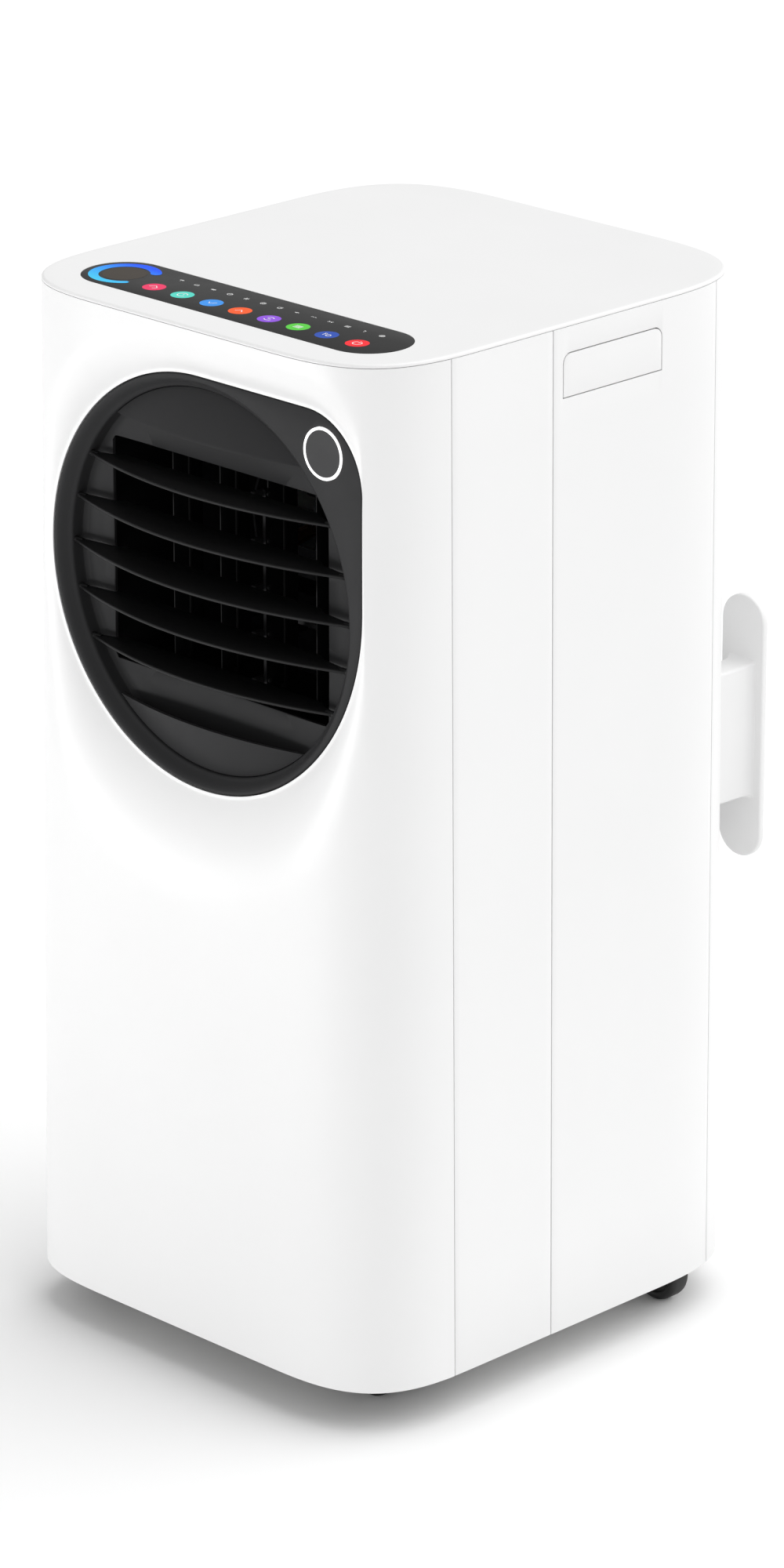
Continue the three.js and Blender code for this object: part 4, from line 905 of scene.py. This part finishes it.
class OBJECT_OT_unit_touch_strip(bpy.types.Operator):
    """Touch strip with its dial ring, coloured signs and small signs"""

    bl_idname = "object.unit_touch_strip"
    bl_label = "Touch strip"

    def execute(self, context):
        touch = context.scene.unit_touch
        rings = []
        for z, grow in ((TOP - 2.0, -0.2), (TOP - 0.25, -0.2), (TOP - 0.07, -0.27), (TOP, -0.45)):
            rings.append([(x, y, z) for x, y in stadium(grow)])
        vertices, faces = loft(rings, True, True, True)
        new_piece(
            "touch_strip", vertices, faces, FINISHES["glass"], replaces=["touch_panel"]
        )
        self.dial()
        self.signs(touch)
        return {"FINISHED"}

    @staticmethod
    def flat(name, outlines, z, finish):
        parts = []
        for outline in outlines:
            parts.append(prism("z", outline, z - 0.04, z))
        vertices, faces = merged(*parts)
        return new_piece(name, vertices, faces, finish)

    def dial(self):
        x, y = -111.3, -126.9
        self.flat("dial_disc", [arc(x, y, 14.7, 0, 360, 72)[:-1]], TOP + 0.05, FINISHES["knob"])
        # The ring opens at the front right and narrows towards its ends.
        outer, inner = [], []
        for k in range(91):
            t = k / 90
            a = math.radians(33 + 292 * t)
            width = 7.4 - 2.8 * max(0.0, (t - 0.55) / 0.45)
            middle = 20.3
            half = width / 2
            end = min(t, 1 - t) * 292 * math.radians(1) * middle
            if end < half:
                half = math.sqrt(max(half**2 - (half - end) ** 2, 0.0))
            outer.append((x + (middle + half) * math.cos(a), y + (middle + half) * math.sin(a)))
            inner.append((x + (middle - half) * math.cos(a), y + (middle - half) * math.sin(a)))
        finish = Finish("dial_ring_blue", (0.02, 0.1, 0.9), 0.4).dull(0.03)
        split = finish.tree.nodes.new("ShaderNodeSeparateXYZ")
        finish.tree.links.new(finish.where.outputs["Object"], split.inputs["Vector"])
        span = finish.tree.nodes.new("ShaderNodeMapRange")
        span.inputs["From Min"].default_value = (y + SHIFT + 22) * MM
        span.inputs["From Max"].default_value = (y + SHIFT - 24) * MM
        finish.tree.links.new(split.outputs["Y"], span.inputs["Value"])
        finish.tint(span.outputs["Result"], (0.06, 0.55, 0.85), 0.05, 0.95)
        finish.vary_roughness(finish.noise(300.0, 3.0), 0.05)
        finish.bump(finish.noise(1500.0, 2.0), 0.05, 0.00001)
        vertices = [(a, b, TOP + 0.05) for a, b in outer] + [(a, b, TOP + 0.05) for a, b in inner]
        count = len(outer)
        faces = [(i, i + 1, count + i + 1, count + i) for i in range(count - 1)]
        piece = new_piece("dial_ring", vertices, faces, finish.material)
        if piece.data.polygons[0].normal.z < 0:
            piece.data.flip_normals()

    def signs(self, touch):
        spots = (-74.4, -48.1, -21.3, 4.8, 31.1, 57.2, 82.7, 109.6)
        tints = {
            "pink": (0.76, 0.045, 0.13),
            "turquoise": (0.09, 0.6, 0.5),
            "blue": (0.05, 0.27, 0.75),
            "orange": (0.85, 0.11, 0.03),
            "purple": (0.26, 0.09, 0.65),
            "green": (0.1, 0.55, 0.06),
            "navy": (0.03, 0.08, 0.4),
            "red": (0.85, 0.03, 0.04),
        }
        white = printed("sign_white", (0.85, 0.85, 0.85))
        grey = printed("sign_grey", (0.66, 0.66, 0.66), 0.1)
        circle = [(math.cos(math.radians(a)), math.sin(math.radians(a))) for a in range(0, 361, 20)]

        def ring(r, start=0, end=360):
            turns = [math.radians(a) for a in range(start, end + 1, 15)]
            return [(r * math.cos(a), r * math.sin(a)) for a in turns]

        glyphs = {
            "pink": [[(-0.9, -0.2), (-0.1, 0.6), (0.6, 0.0)], [(0.2, -0.7), (0.8, -0.1)]],
            "turquoise": [ring(0.8, 20, 340), [(0, 0.1), (0, 0.5)]],
            "blue": [[(-0.6, 0.2), (-0.1, -0.5), (0.7, 0.5)]],
            "orange": [[(-0.7, -0.4), (0.0, 0.4), (0.7, -0.4)]],
            "purple": [ring(0.75, 30, 150), ring(0.75, 210, 330), [(-0.35, 0), (0.35, 0)]],
            "green": [[(-0.7, v), (0.7, v)] for v in (-0.45, -0.15, 0.15, 0.45)],
            "navy": [
                [(-0.8, 0.5), (-0.3, 0.5)],
                [(-0.55, 0.5), (-0.55, -0.4)],
                [(x * 0.4 + 0.4, z * 0.4 - 0.1) for x, z in circle],
            ],
            "red": [ring(0.72, 120, 420), [(0, 0.2), (0, 0.95)]],
        }
        for spot, (name, tint) in zip(spots, tints.items()):
            disc = arc(spot, -135.5, touch.disc / MM / 2, 0, 360, 48)[:-1]
            self.flat(f"sign_disc_{name}", [disc], TOP + 0.05, printed(f"sign_{name}", tint, 0.12))
            lines = [[(spot + 4.2 * a, -135.5 + 4.2 * b) for a, b in line] for line in glyphs[name]]
            self.drawn(f"sign_mark_{name}", lines, touch.stroke / MM, TOP + 0.1, white)
        small = [
            [ring(0.9, 30, 150), ring(0.5, 30, 150), [(0, -0.3), (0.01, -0.1)]],
            [[(-0.9, -0.4), (-0.5, 0.4), (0.5, 0.5), (0.9, -0.4), (-0.9, -0.4)]],
            [[(-0.9, 0), (0.9, 0)], [(-0.7, 0.3), (0.8, 0.3)], [(-0.6, -0.3), (0.5, -0.3)]],
            [ring(0.8), [(-0.5, 0), (0.5, 0.3)]],
            [[(-0.9, 0), (0.9, 0)], [(-0.5, -0.8), (0.5, 0.8)], [(0.5, -0.8), (-0.5, 0.8)]],
            [ring(0.8), [(-0.8, 0), (0.8, 0)], [(0, -0.8), (0, 0.8)]],
            [ring(0.7), [(0, 0), (0.6, 0.9)]],
            [[(-0.8, 0.2), (-0.2, -0.2), (0.2, 0.4), (0.8, 0.0)], ring(0.3)],
            [[(-1, 0), (-0.5, 0.3), (0, 0), (0.5, 0.3), (1, 0)]],
            [[(-0.9, 0.4), (0.9, -0.4)], [(-0.9, -0.4), (0.9, 0.4)]],
            [[(-0.9, v), (0.9, v)] for v in (-0.5, 0, 0.5)],
            [[(-0.6, 0.6), (0.2, 0.3), (0.0, -0.8)]],
            [ring(0.8), ring(0.35)],
        ]
        for k, lines in enumerate(small):
            x = -73.2 + 15.2 * k
            moved = [[(x + 2.3 * a, -113.3 + 2.1 * b) for a, b in line] for line in lines]
            self.drawn(f"small_sign_{k + 1}", moved, touch.stroke / MM * 0.85, TOP + 0.05, grey)

    @staticmethod
    def drawn(name, lines, width, z, finish):
        """Flat strokes along lines."""
        vertices, faces = [], []
        for line in lines:
            points = [Vector(p) for p in line]
            base = len(vertices)
            for i, p in enumerate(points):
                along = points[min(i + 1, len(points) - 1)] - points[max(i - 1, 0)]
                side = Vector((-along.y, along.x)).normalized() * width / 2
                vertices += [(p.x - side.x, p.y - side.y, z), (p.x + side.x, p.y + side.y, z)]
            for i in range(len(points) - 1):
                a = base + 2 * i
                faces.append((a, a + 2, a + 3, a + 1))
        mesh = bpy.data.meshes.new(name)
        mesh.from_pydata([place(v) for v in vertices], [], faces)
        mesh.materials.append(finish)
        mesh.validate()
        piece = bpy.data.objects.new(name, mesh)
        bpy.context.scene.collection.objects.link(piece)
        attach(piece, "casing")
        if mesh.polygons and mesh.polygons[0].normal.z < 0:
            mesh.flip_normals()


# ---- Air outlet -----------------------------------------------------------------------------------


class OBJECT_OT_unit_bezel(bpy.types.Operator):
    """Bezel, round well and status light"""

    bl_idname = "object.unit_bezel"
    bl_label = "Bezel"

    def execute(self, context):
        rays = 360
        angles = np.linspace(0, 2 * math.pi, rays + 1)[:-1]
        outer = outline_by_angle(angles, -0.4)
        front = BEZEL_Y
        edge = [(0.0, 3.0), (0.0, 0.7), (0.25, 0.2), (0.8, 0.0)]
        rings = [ring_at(outer - inset, angles, front + depth) for inset, depth in edge]
        inner = [(137.0, 0.0), (136.2, 0.12), (135.2, 0.5), (134.0, 1.4), (132.6, 3.0), (131.0, 5.0)]
        inner += [(129.6, 6.4), (128.7, 7.0), (128.1, 7.9), (BORE_R, 9.0), (BORE_R, 13.5), (127.2, 15.6)]
        inner += [(125.2, 17.0), (WELL_FLOOR_R, 17.5)]
        for r, depth in inner:
            rings.append(ring_at([r] * rays, angles, front + depth))
        # The back plate runs from the round well to the square mouth of the duct.
        half_x, half_z = DUCT_MOUTH
        mouth = []
        for a in angles:
            c, s = math.cos(a), math.sin(a)
            scale = 1 / max(abs(c) / half_x, abs(s) / half_z)
            mouth.append((scale * c, OUTLET_Z + scale * s))
        for share, depth in ((0.5, 17.6), (0.97, 17.7), (1.0, 18.1)):
            ring = []
            for a, m in zip(angles, mouth):
                floor_x, floor_z = WELL_FLOOR_R * math.cos(a), OUTLET_Z + WELL_FLOOR_R * math.sin(a)
                x = floor_x * (1 - share) + m[0] * share
                ring.append((x, front + depth, floor_z * (1 - share) + m[1] * share))
            rings.append(ring)
        rings.append([(m[0], front + 20.0, m[1]) for m in mouth])
        rings.append(ring_at([WELL_WALL_R] * rays, angles, front + 20.0))
        rings.append(ring_at([WELL_WALL_R] * rays, angles, front + 3.0))
        rings.append(rings[0])
        vertices, faces = loft(rings, closed=True)
        piece = new_piece(
            "bezel_and_well",
            vertices,
            faces,
            FINISHES["bezel"],
            replaces=["outlet_bezel"],
            sharp=60.0,
        )
        x, z = STATUS_SPOT
        carve(piece, cutter_of(*prism("y", arc(x, z, 17.5, 0, 360, 96)[:-1], front - 5, front + 2.6)))
        disc = [(0.0, -0.15), (14.9, -0.15), (15.1, 0.0), (15.1, 2.3), (0.0, 2.3)]
        vertices, faces = turned("y", (x, front, z), disc)
        new_piece("status_disc", vertices, faces, FINISHES["lens"], replaces=["status_lens"])
        halo = [(15.2, 0.0), (15.3, -0.25), (16.9, -0.25), (17.1, 0.0), (17.1, 2.3), (15.2, 2.3)]
        vertices, faces = turned("y", (x, front, z), halo)
        new_piece("status_ring", vertices, faces, FINISHES["ring"])
        return {"FINISHED"}


def ring_at(reach, angles, y):
    """A ring round the outlet's middle at one depth."""
    return [(r * math.cos(a), y, OUTLET_Z + r * math.sin(a)) for r, a in zip(reach, angles)]


def dome_y(distance):
    """The depth of the outlet's dome at a distance from its middle."""
    centre = BEZEL_Y - DOME_HEIGHT + DOME_R
    return centre - math.sqrt(DOME_R**2 - distance**2)


class OBJECT_OT_unit_eyelids(bpy.types.Operator):
    """Domed lids above and below the vanes"""

    bl_idname = "object.unit_eyelids"
    bl_label = "Domed lids"

    def execute(self, context):
        for name, way in (("upper", 1), ("lower", -1)):
            half = math.sqrt(EYELID_R**2 - EYELID_EDGE**2)
            rings = []
            for x in np.linspace(-half + 0.3, half - 0.3, 72):
                top = math.sqrt(EYELID_R**2 - x**2)
                column = []
                for t in np.linspace(0, 1, 14):
                    z = EYELID_EDGE + (top - EYELID_EDGE) * t
                    column.append((x, dome_y(math.hypot(x, z)), OUTLET_Z + way * z))
                back = [(px, py + 2.6, pz) for px, py, pz in column[::-1]]
                rings.append(column + back)
            vertices, faces = loft(rings, True, True, True)
            piece = new_piece(
                f"eyelid_{name}_shell",
                vertices,
                faces,
                FINISHES["bezel"],
                replaces=[f"eyelid_{name}"],
            )
            ease_edges(piece, 0.0006, 3, 45.0)
        return {"FINISHED"}


class OBJECT_OT_unit_vanes(bpy.types.Operator):
    """Louvre vanes on their pivot pins"""

    bl_idname = "object.unit_vanes"
    bl_label = "Vanes"

    def execute(self, context):
        thickness = context.scene.unit_outlet.vane_thickness / MM
        for i in range(VANE_COUNT):
            rise = ((VANE_COUNT - 1) / 2 - i) * VANE_PITCH
            bore = math.sqrt(BORE_R**2 - rise**2)
            half = bore - 1.2
            outline = [(x, dome_y(math.hypot(x, rise))) for x in np.linspace(half, -half, 65)]
            outline += [(-half, -156.5), (-97.0, -152.5), (-90.0, -148.0)]
            outline += [(90.0, -148.0), (97.0, -152.5), (half, -156.5)]
            z = OUTLET_Z + rise
            vertices, faces = prism("z", outline, z - thickness / 2, z + thickness / 2)
            blade = new_piece(
                f"vane_{i + 1}_blade",
                vertices,
                faces,
                FINISHES["vane"],
                f"vane_{i + 1}",
                [f"vane_{i + 1}"],
            )
            ease_edges(blade, 0.00085, 3, 45.0)
            parts = []
            for side in (-1, 1):
                ends = [(side * reach, VANE_PIVOT_Y, z) for reach in (half - 6, bore + 2.4)]
                parts.append(tube(ends, 2.0, 24))
            parts.append(box(27.0, -149.0, z - 2, 31.0, -138.0, z + 2))
            parts.append(tube([(29.0, -140, z), (34.9, -140, z)], 1.5, 20))
            # A stiffening rib runs along the underside.
            parts.append(box(-84, -152.6, z - 2.4, 84, -151.4, z - 0.6))
            vertices, faces = merged(*parts)
            pins = new_piece(
                f"vane_{i + 1}_pins", vertices, faces, FINISHES["vane"], f"vane_{i + 1}"
            )
            ease_edges(pins, 0.0003, 2, 45.0)
        return {"FINISHED"}


class OBJECT_OT_unit_duct(bpy.types.Operator):
    """Deflector blades and the links that move them"""

    bl_idname = "object.unit_duct"
    bl_label = "Duct blades"

    def execute(self, context):
        for i in range(DEFLECTOR_COUNT):
            x = (i - (DEFLECTOR_COUNT - 1) / 2) * DEFLECTOR_PITCH
            outline = [(x - 0.5, -129), (x + 0.5, -129), (x + 1.1, -122), (x + 1.1, -110)]
            outline += [(x + 0.5, -103), (x - 0.5, -103), (x - 1.1, -110), (x - 1.1, -122)]
            tab = OUTLET_Z - 37.9
            parts = [
                prism("z", outline, OUTLET_Z - 73, OUTLET_Z + 73),
                tube([(x, -115, OUTLET_Z - 78), (x, -115, OUTLET_Z + 78)], 2.0, 20),
                box(x - 1, -115, tab - 4, x + 1, -94.5, tab),
                tube([(x, -96.5, tab - 2), (x, -96.5, tab + 4.4)], 1.5, 16),
            ]
            vertices, faces = merged(*parts)
            name = f"deflector_{i + 1}"
            piece = new_piece(f"{name}_blade", vertices, faces, FINISHES["dark"], name, [name])
            ease_edges(piece, 0.0003, 2, 45.0)
        for name in ("outlet_duct", "vane_link", "deflector_tie_bar"):
            paint(name, "dark")
        return {"FINISHED"}


# ---- Rear fittings and casters --------------------------------------------------------------------


class OBJECT_OT_unit_rear_fittings(bpy.types.Operator):
    """Cord winder, hose collar, cord gland and drain cap"""

    bl_idname = "object.unit_rear_fittings"
    bl_label = "Rear fittings"

    def execute(self, context):
        x, z = middle_of("cord_winder")
        plate = [*arc(x, z + 74.5, 18.5, 0, 180, 32), *arc(x, z - 74.5, 18.5, 180, 360, 32)]
        vertices, faces = prism("y", plate, 215, 220)
        piece = new_piece(
            "cord_winder_plate",
            vertices,
            faces,
            FINISHES["winder"],
            replaces=["cord_winder"],
        )
        ease_edges(piece, 0.0014, 4, 45.0)
        outline = rounded(x - 10, z - 46.5, x + 10, z + 46.5, 2.2, 6)
        rings = []
        for y in (None, 184.0, 206.0, 212.5, 214.4, 215.6):
            grow = {None: 0.0, 184.0: 0.0, 206.0: 0.3, 212.5: 1.1, 214.4: 2.2, 215.6: 3.6}[y]
            ring = []
            for px, pz in outline:
                sx, sz = (px - x) / 10, (pz - z) / 46.5
                depth = wall_y(px, pz) - 1.5 if y is None else y
                ring.append((px + grow * max(-1, min(1, sx)), depth, pz + grow * max(-1, min(1, sz))))
            rings.append(ring)
        vertices, faces = loft(rings, True, True, True)
        new_piece("cord_winder_stem", vertices, faces, FINISHES["winder"])

        cx, cz = middle_of("exhaust_collar")
        seat = wall_y(abs(cx) + 20, cz) + 0.6
        profile = [(60, 168), (66, 168), (66, seat), (77.2, seat), (78, seat + 0.8), (78, seat + 2.2)]
        profile += [(77.2, seat + 3), (67.2, seat + 3), (66, seat + 4.2)]
        for k in range(3):
            y = seat + 5.2 + 2.4 * k
            profile += [(66, y), (66.5, y + 0.4), (66.5, y + 1.0), (66, y + 1.4)]
        profile += [(66, 195), (65, 196), (61, 196), (60, 195)]
        parts = [turned("y", (cx, 0, cz), profile, 128)]
        for angle in (45, 165, 285):
            a = math.radians(angle)
            lug_x, lug_z = cx + 67 * math.cos(a), cz + 67 * math.sin(a)
            parts.append(tube([(lug_x, 190, lug_z), (lug_x, 195, lug_z)], 3.0, 24))
        vertices, faces = merged(*parts)
        collar = new_piece(
            "hose_collar", vertices, faces, FINISHES["dark"], replaces=["exhaust_collar"]
        )
        ease_edges(collar, 0.0003, 2, 55.0)

        x, z = middle_of("cord_gland")
        seat = wall_y(x - 9, z) + 0.4
        profile = [(4.5, seat - 7), (6.9, seat - 7), (6.9, seat), (9, seat), (9, seat + 1.5)]
        profile += [(8.2, seat + 3), (8.4, seat + 4.5), (7.4, seat + 6), (7.6, seat + 7.5), (6.6, seat + 9)]
        profile += [(6.4, seat + 11.5), (5.8, seat + 12), (4.5, seat + 12)]
        vertices, faces = turned("y", (x, 0, z), profile, 48)
        sleeve = "cord_gland_sleeve"
        new_piece(sleeve, vertices, faces, FINISHES["dark"], replaces=["cord_gland"])

        x, z = middle_of("drain_cap")
        seat = wall_y(abs(x) - 11, z) + 0.4
        rings = []
        knob = [(-12, 5.9), (0, 5.9), (0, 11), (7.6, 10.3), (8.6, 9.6), (9, 8.4)]
        for y, r in ((seat + rise, r) for rise, r in knob):
            ring = []
            for k in range(72):
                a = 2 * math.pi * k / 72
                grip = 0.35 * (k % 3 == 0) if seat < y < seat + 8.5 or (r == 11) else 0.0
                ring.append((x + (r - grip) * math.cos(a), y, z + (r - grip) * math.sin(a)))
            rings.append(ring)
        vertices, faces = loft(rings, True, True, True)
        new_piece(
            "drain_cap_knob", vertices, faces, FINISHES["dark"], "drain_cap", ["drain_cap"]
        )
        return {"FINISHED"}


class OBJECT_OT_unit_casters(bpy.types.Operator):
    """Caster forks and wheels"""

    bl_idname = "object.unit_casters"
    bl_label = "Casters"

    def execute(self, context):
        spots = {
            "front_right": (1, -1),
            "front_left": (-1, -1),
            "rear_right": (1, 1),
            "rear_left": (-1, 1),
        }
        for name, (side, way) in spots.items():
            x, y = side * CASTER_SPOT[0], way * CASTER_SPOT[1]
            self.fork(name, x, y, way)
            self.wheel(name, x + way * CASTER_TRAIL, y)
        return {"FINISHED"}

    @staticmethod
    def fork(name, x, y, way):
        body = f"caster_fork_{name}"
        axle_x = x + way * CASTER_TRAIL
        leg = [(-9, 47), (13, 47), (19.5, 36), (21.8, 21), (20.5, 15.5)]
        leg += [(17, 13.1), (12, 13.1), (8.5, 15.5), (6, 24), (-5, 38)]
        crown = [(0, 46), (16, 46), (17, 47), (17, 51), (16, 52), (5, 52), (5, 59.4), (4.4, 60), (0, 60)]
        parts = [
            turned("z", (x, y, 0), crown, 48),
            tube([(axle_x, y - 9.2, AXLE_Z), (axle_x, y + 9.2, AXLE_Z)], 2.95, 24),
        ]
        for low, high in ((9.2, 11.7), (-11.7, -9.2)):
            outline = [(x + way * a, b) for a, b in leg]
            parts.append(prism("y", outline, y + low, y + high))
        vertices, faces = merged(*parts)
        piece = new_piece(f"{body}_frame", vertices, faces, FINISHES["dark"], body, [body])
        ease_edges(piece, 0.0005, 2, 45.0)

    @staticmethod
    def wheel(name, x, y):
        body = f"caster_wheel_{name}"
        half = [(3.4, 8), (6, 8), (6.4, 7.4), (7.2, 6.2), (13.6, 6.2), (14.4, 7.4), (15, 8), (17, 8)]
        half += [(18.6, 7.3), (19.6, 6), (20, 4.4)]
        profile = [(r, -h) for r, h in half] + half[::-1]
        vertices, faces = turned("y", (x, y, AXLE_Z), profile, 96)
        finish = FINISHES["rubber"]
        new_piece(f"{body}_tread", vertices, faces, finish, body, [body], sharp=50.0)


def paint(node, finish):
    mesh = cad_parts[node].data
    mesh.materials.clear()
    mesh.materials.append(FINISHES[finish])


class OBJECT_OT_unit_inner_parts(bpy.types.Operator):
    """Finishes for the parts inside the casing"""

    bl_idname = "object.unit_inner_parts"
    bl_label = "Inner parts"

    def execute(self, context):
        finishes = {
            "casing": ["handle_cup_left", "handle_cup_right"],
            "grey": ["base_pan", "divider_deck"],
            "foam": ["condensate_tray", "exhaust_scroll", "exhaust_duct"],
            "steel": ["blower_motor", "exhaust_motor", "electrical_box"],
            "fan": ["blower_wheel", "blower_scroll", "exhaust_wheel"],
            "copper": ["discharge_pipe", "suction_pipe"],
            "fins": ["evaporator", "condenser"],
            "enamel": ["compressor"],
            "board": ["control_board"],
            "mesh": ["air_filter"],
        }
        for finish, nodes in finishes.items():
            for node in nodes:
                paint(node, finish)
        return {"FINISHED"}


# ---- Stage ----------------------------------------------------------------------------------------


class OBJECT_OT_unit_stage(bpy.types.Operator):
    """Floor, soft lights and camera"""

    bl_idname = "object.unit_stage"
    bl_label = "Stage"

    def execute(self, context):
        scene, settings = context.scene, context.scene.unit_stage
        mesh = bpy.data.meshes.new("floor")
        mesh.from_pydata([(-30, -30, 0), (30, -30, 0), (30, 30, 0), (-30, 30, 0)], [], [(0, 1, 2, 3)])
        mesh.materials.append(moulded("floor_pale", tuple(settings.floor), 0.9, 40.0, 0.0001, 0.998, 0.02))
        floor = bpy.data.objects.new("floor", mesh)
        scene.collection.objects.link(floor)
        world = bpy.data.worlds.new("studio")
        world.use_nodes = True
        world.node_tree.nodes["Background"].inputs["Color"].default_value = (1, 1, 1, 1)
        world.node_tree.nodes["Background"].inputs["Strength"].default_value = 0.6
        scene.world = world
        scene.view_settings.view_transform = "Standard"
        self.softbox("key_low", (-0.75, -1.75, 0.16), 1.3, 0.26, 9.8)
        sky = bpy.data.lights.new("rear_right", "SUN")
        sky.energy = 2.15
        sky.angle = math.radians(85)
        lamp = bpy.data.objects.new("rear_right", sky)
        scene.collection.objects.link(lamp)
        lamp.rotation_euler = Vector((-0.35, -0.45, -0.82)).to_track_quat("-Z", "Y").to_euler()
        camera = bpy.data.cameras.new("camera")
        camera.sensor_width = 36
        camera.lens = settings.lens / MM
        camera.clip_start, camera.clip_end = 0.1, 100
        eye = bpy.data.objects.new("camera", camera)
        scene.collection.objects.link(eye)
        position = Vector((2.8092, -2.8150 + SHIFT * MM, 1.8126))
        target = Vector((0.00252, 0.00251 + SHIFT * MM, 0.36637))
        eye.location = position
        eye.rotation_euler = (target - position).to_track_quat("-Z", "Y").to_euler()
        scene.camera = eye
        return {"FINISHED"}

    @staticmethod
    def softbox(name, position, width, height, power):
        light = bpy.data.lights.new(name, "AREA")
        light.shape = "RECTANGLE"
        light.size, light.size_y = width, height
        light.energy = power
        lamp = bpy.data.objects.new(name, light)
        bpy.context.scene.collection.objects.link(lamp)
        lamp.location = position
        aim = Vector((0, 0, 0.35)) - Vector(position)
        lamp.rotation_euler = aim.to_track_quat("-Z", "Y").to_euler()


class VIEW3D_PT_unit(bpy.types.Panel):
    """Lists the pieces of the unit in the order they are made"""

    bl_idname = "VIEW3D_PT_unit"
    bl_label = "Air Conditioner"
    bl_space_type = "VIEW_3D"
    bl_region_type = "UI"
    bl_category = "Air Conditioner"

    def draw(self, context):
        for name, group in (("unit_casing", CasingSettings), ("unit_outlet", OutletSettings),
                            ("unit_touch", TouchSettings), ("unit_stage", StageSettings)):
            for prop in group.__annotations__:
                self.layout.prop(getattr(context.scene, name), prop)
        for step in STEPS:
            self.layout.operator(step.bl_idname)


SETTINGS = {
    "unit_casing": CasingSettings,
    "unit_outlet": OutletSettings,
    "unit_touch": TouchSettings,
    "unit_stage": StageSettings,
}
STEPS = (
    OBJECT_OT_unit_stage,
    OBJECT_OT_unit_front_panel,
    OBJECT_OT_unit_side_panels,
    OBJECT_OT_unit_handles,
    OBJECT_OT_unit_rear_panel,
    OBJECT_OT_unit_lid,
    OBJECT_OT_unit_touch_strip,
    OBJECT_OT_unit_bezel,
    OBJECT_OT_unit_eyelids,
    OBJECT_OT_unit_vanes,
    OBJECT_OT_unit_duct,
    OBJECT_OT_unit_rear_fittings,
    OBJECT_OT_unit_casters,
    OBJECT_OT_unit_inner_parts,
)


def register():
    for group in SETTINGS.values():
        bpy.utils.register_class(group)
    for name, group in SETTINGS.items():
        setattr(bpy.types.Scene, name, PointerProperty(type=group))
    for step in STEPS:
        bpy.utils.register_class(step)
    bpy.utils.register_class(VIEW3D_PT_unit)


def unregister():
    bpy.utils.unregister_class(VIEW3D_PT_unit)
    for step in reversed(STEPS):
        bpy.utils.unregister_class(step)
    for name, group in SETTINGS.items():
        delattr(bpy.types.Scene, name)
        bpy.utils.unregister_class(group)


def main():
    register()
    FINISHES.update(make_finishes(bpy.context.scene))
    for step in STEPS:
        family, name = step.bl_idname.split(".")
        result = getattr(getattr(bpy.ops, family), name)()
        if result != {"FINISHED"}:
            raise RuntimeError(f"{step.bl_label} was not made")


if __name__ == "__main__":
    main()
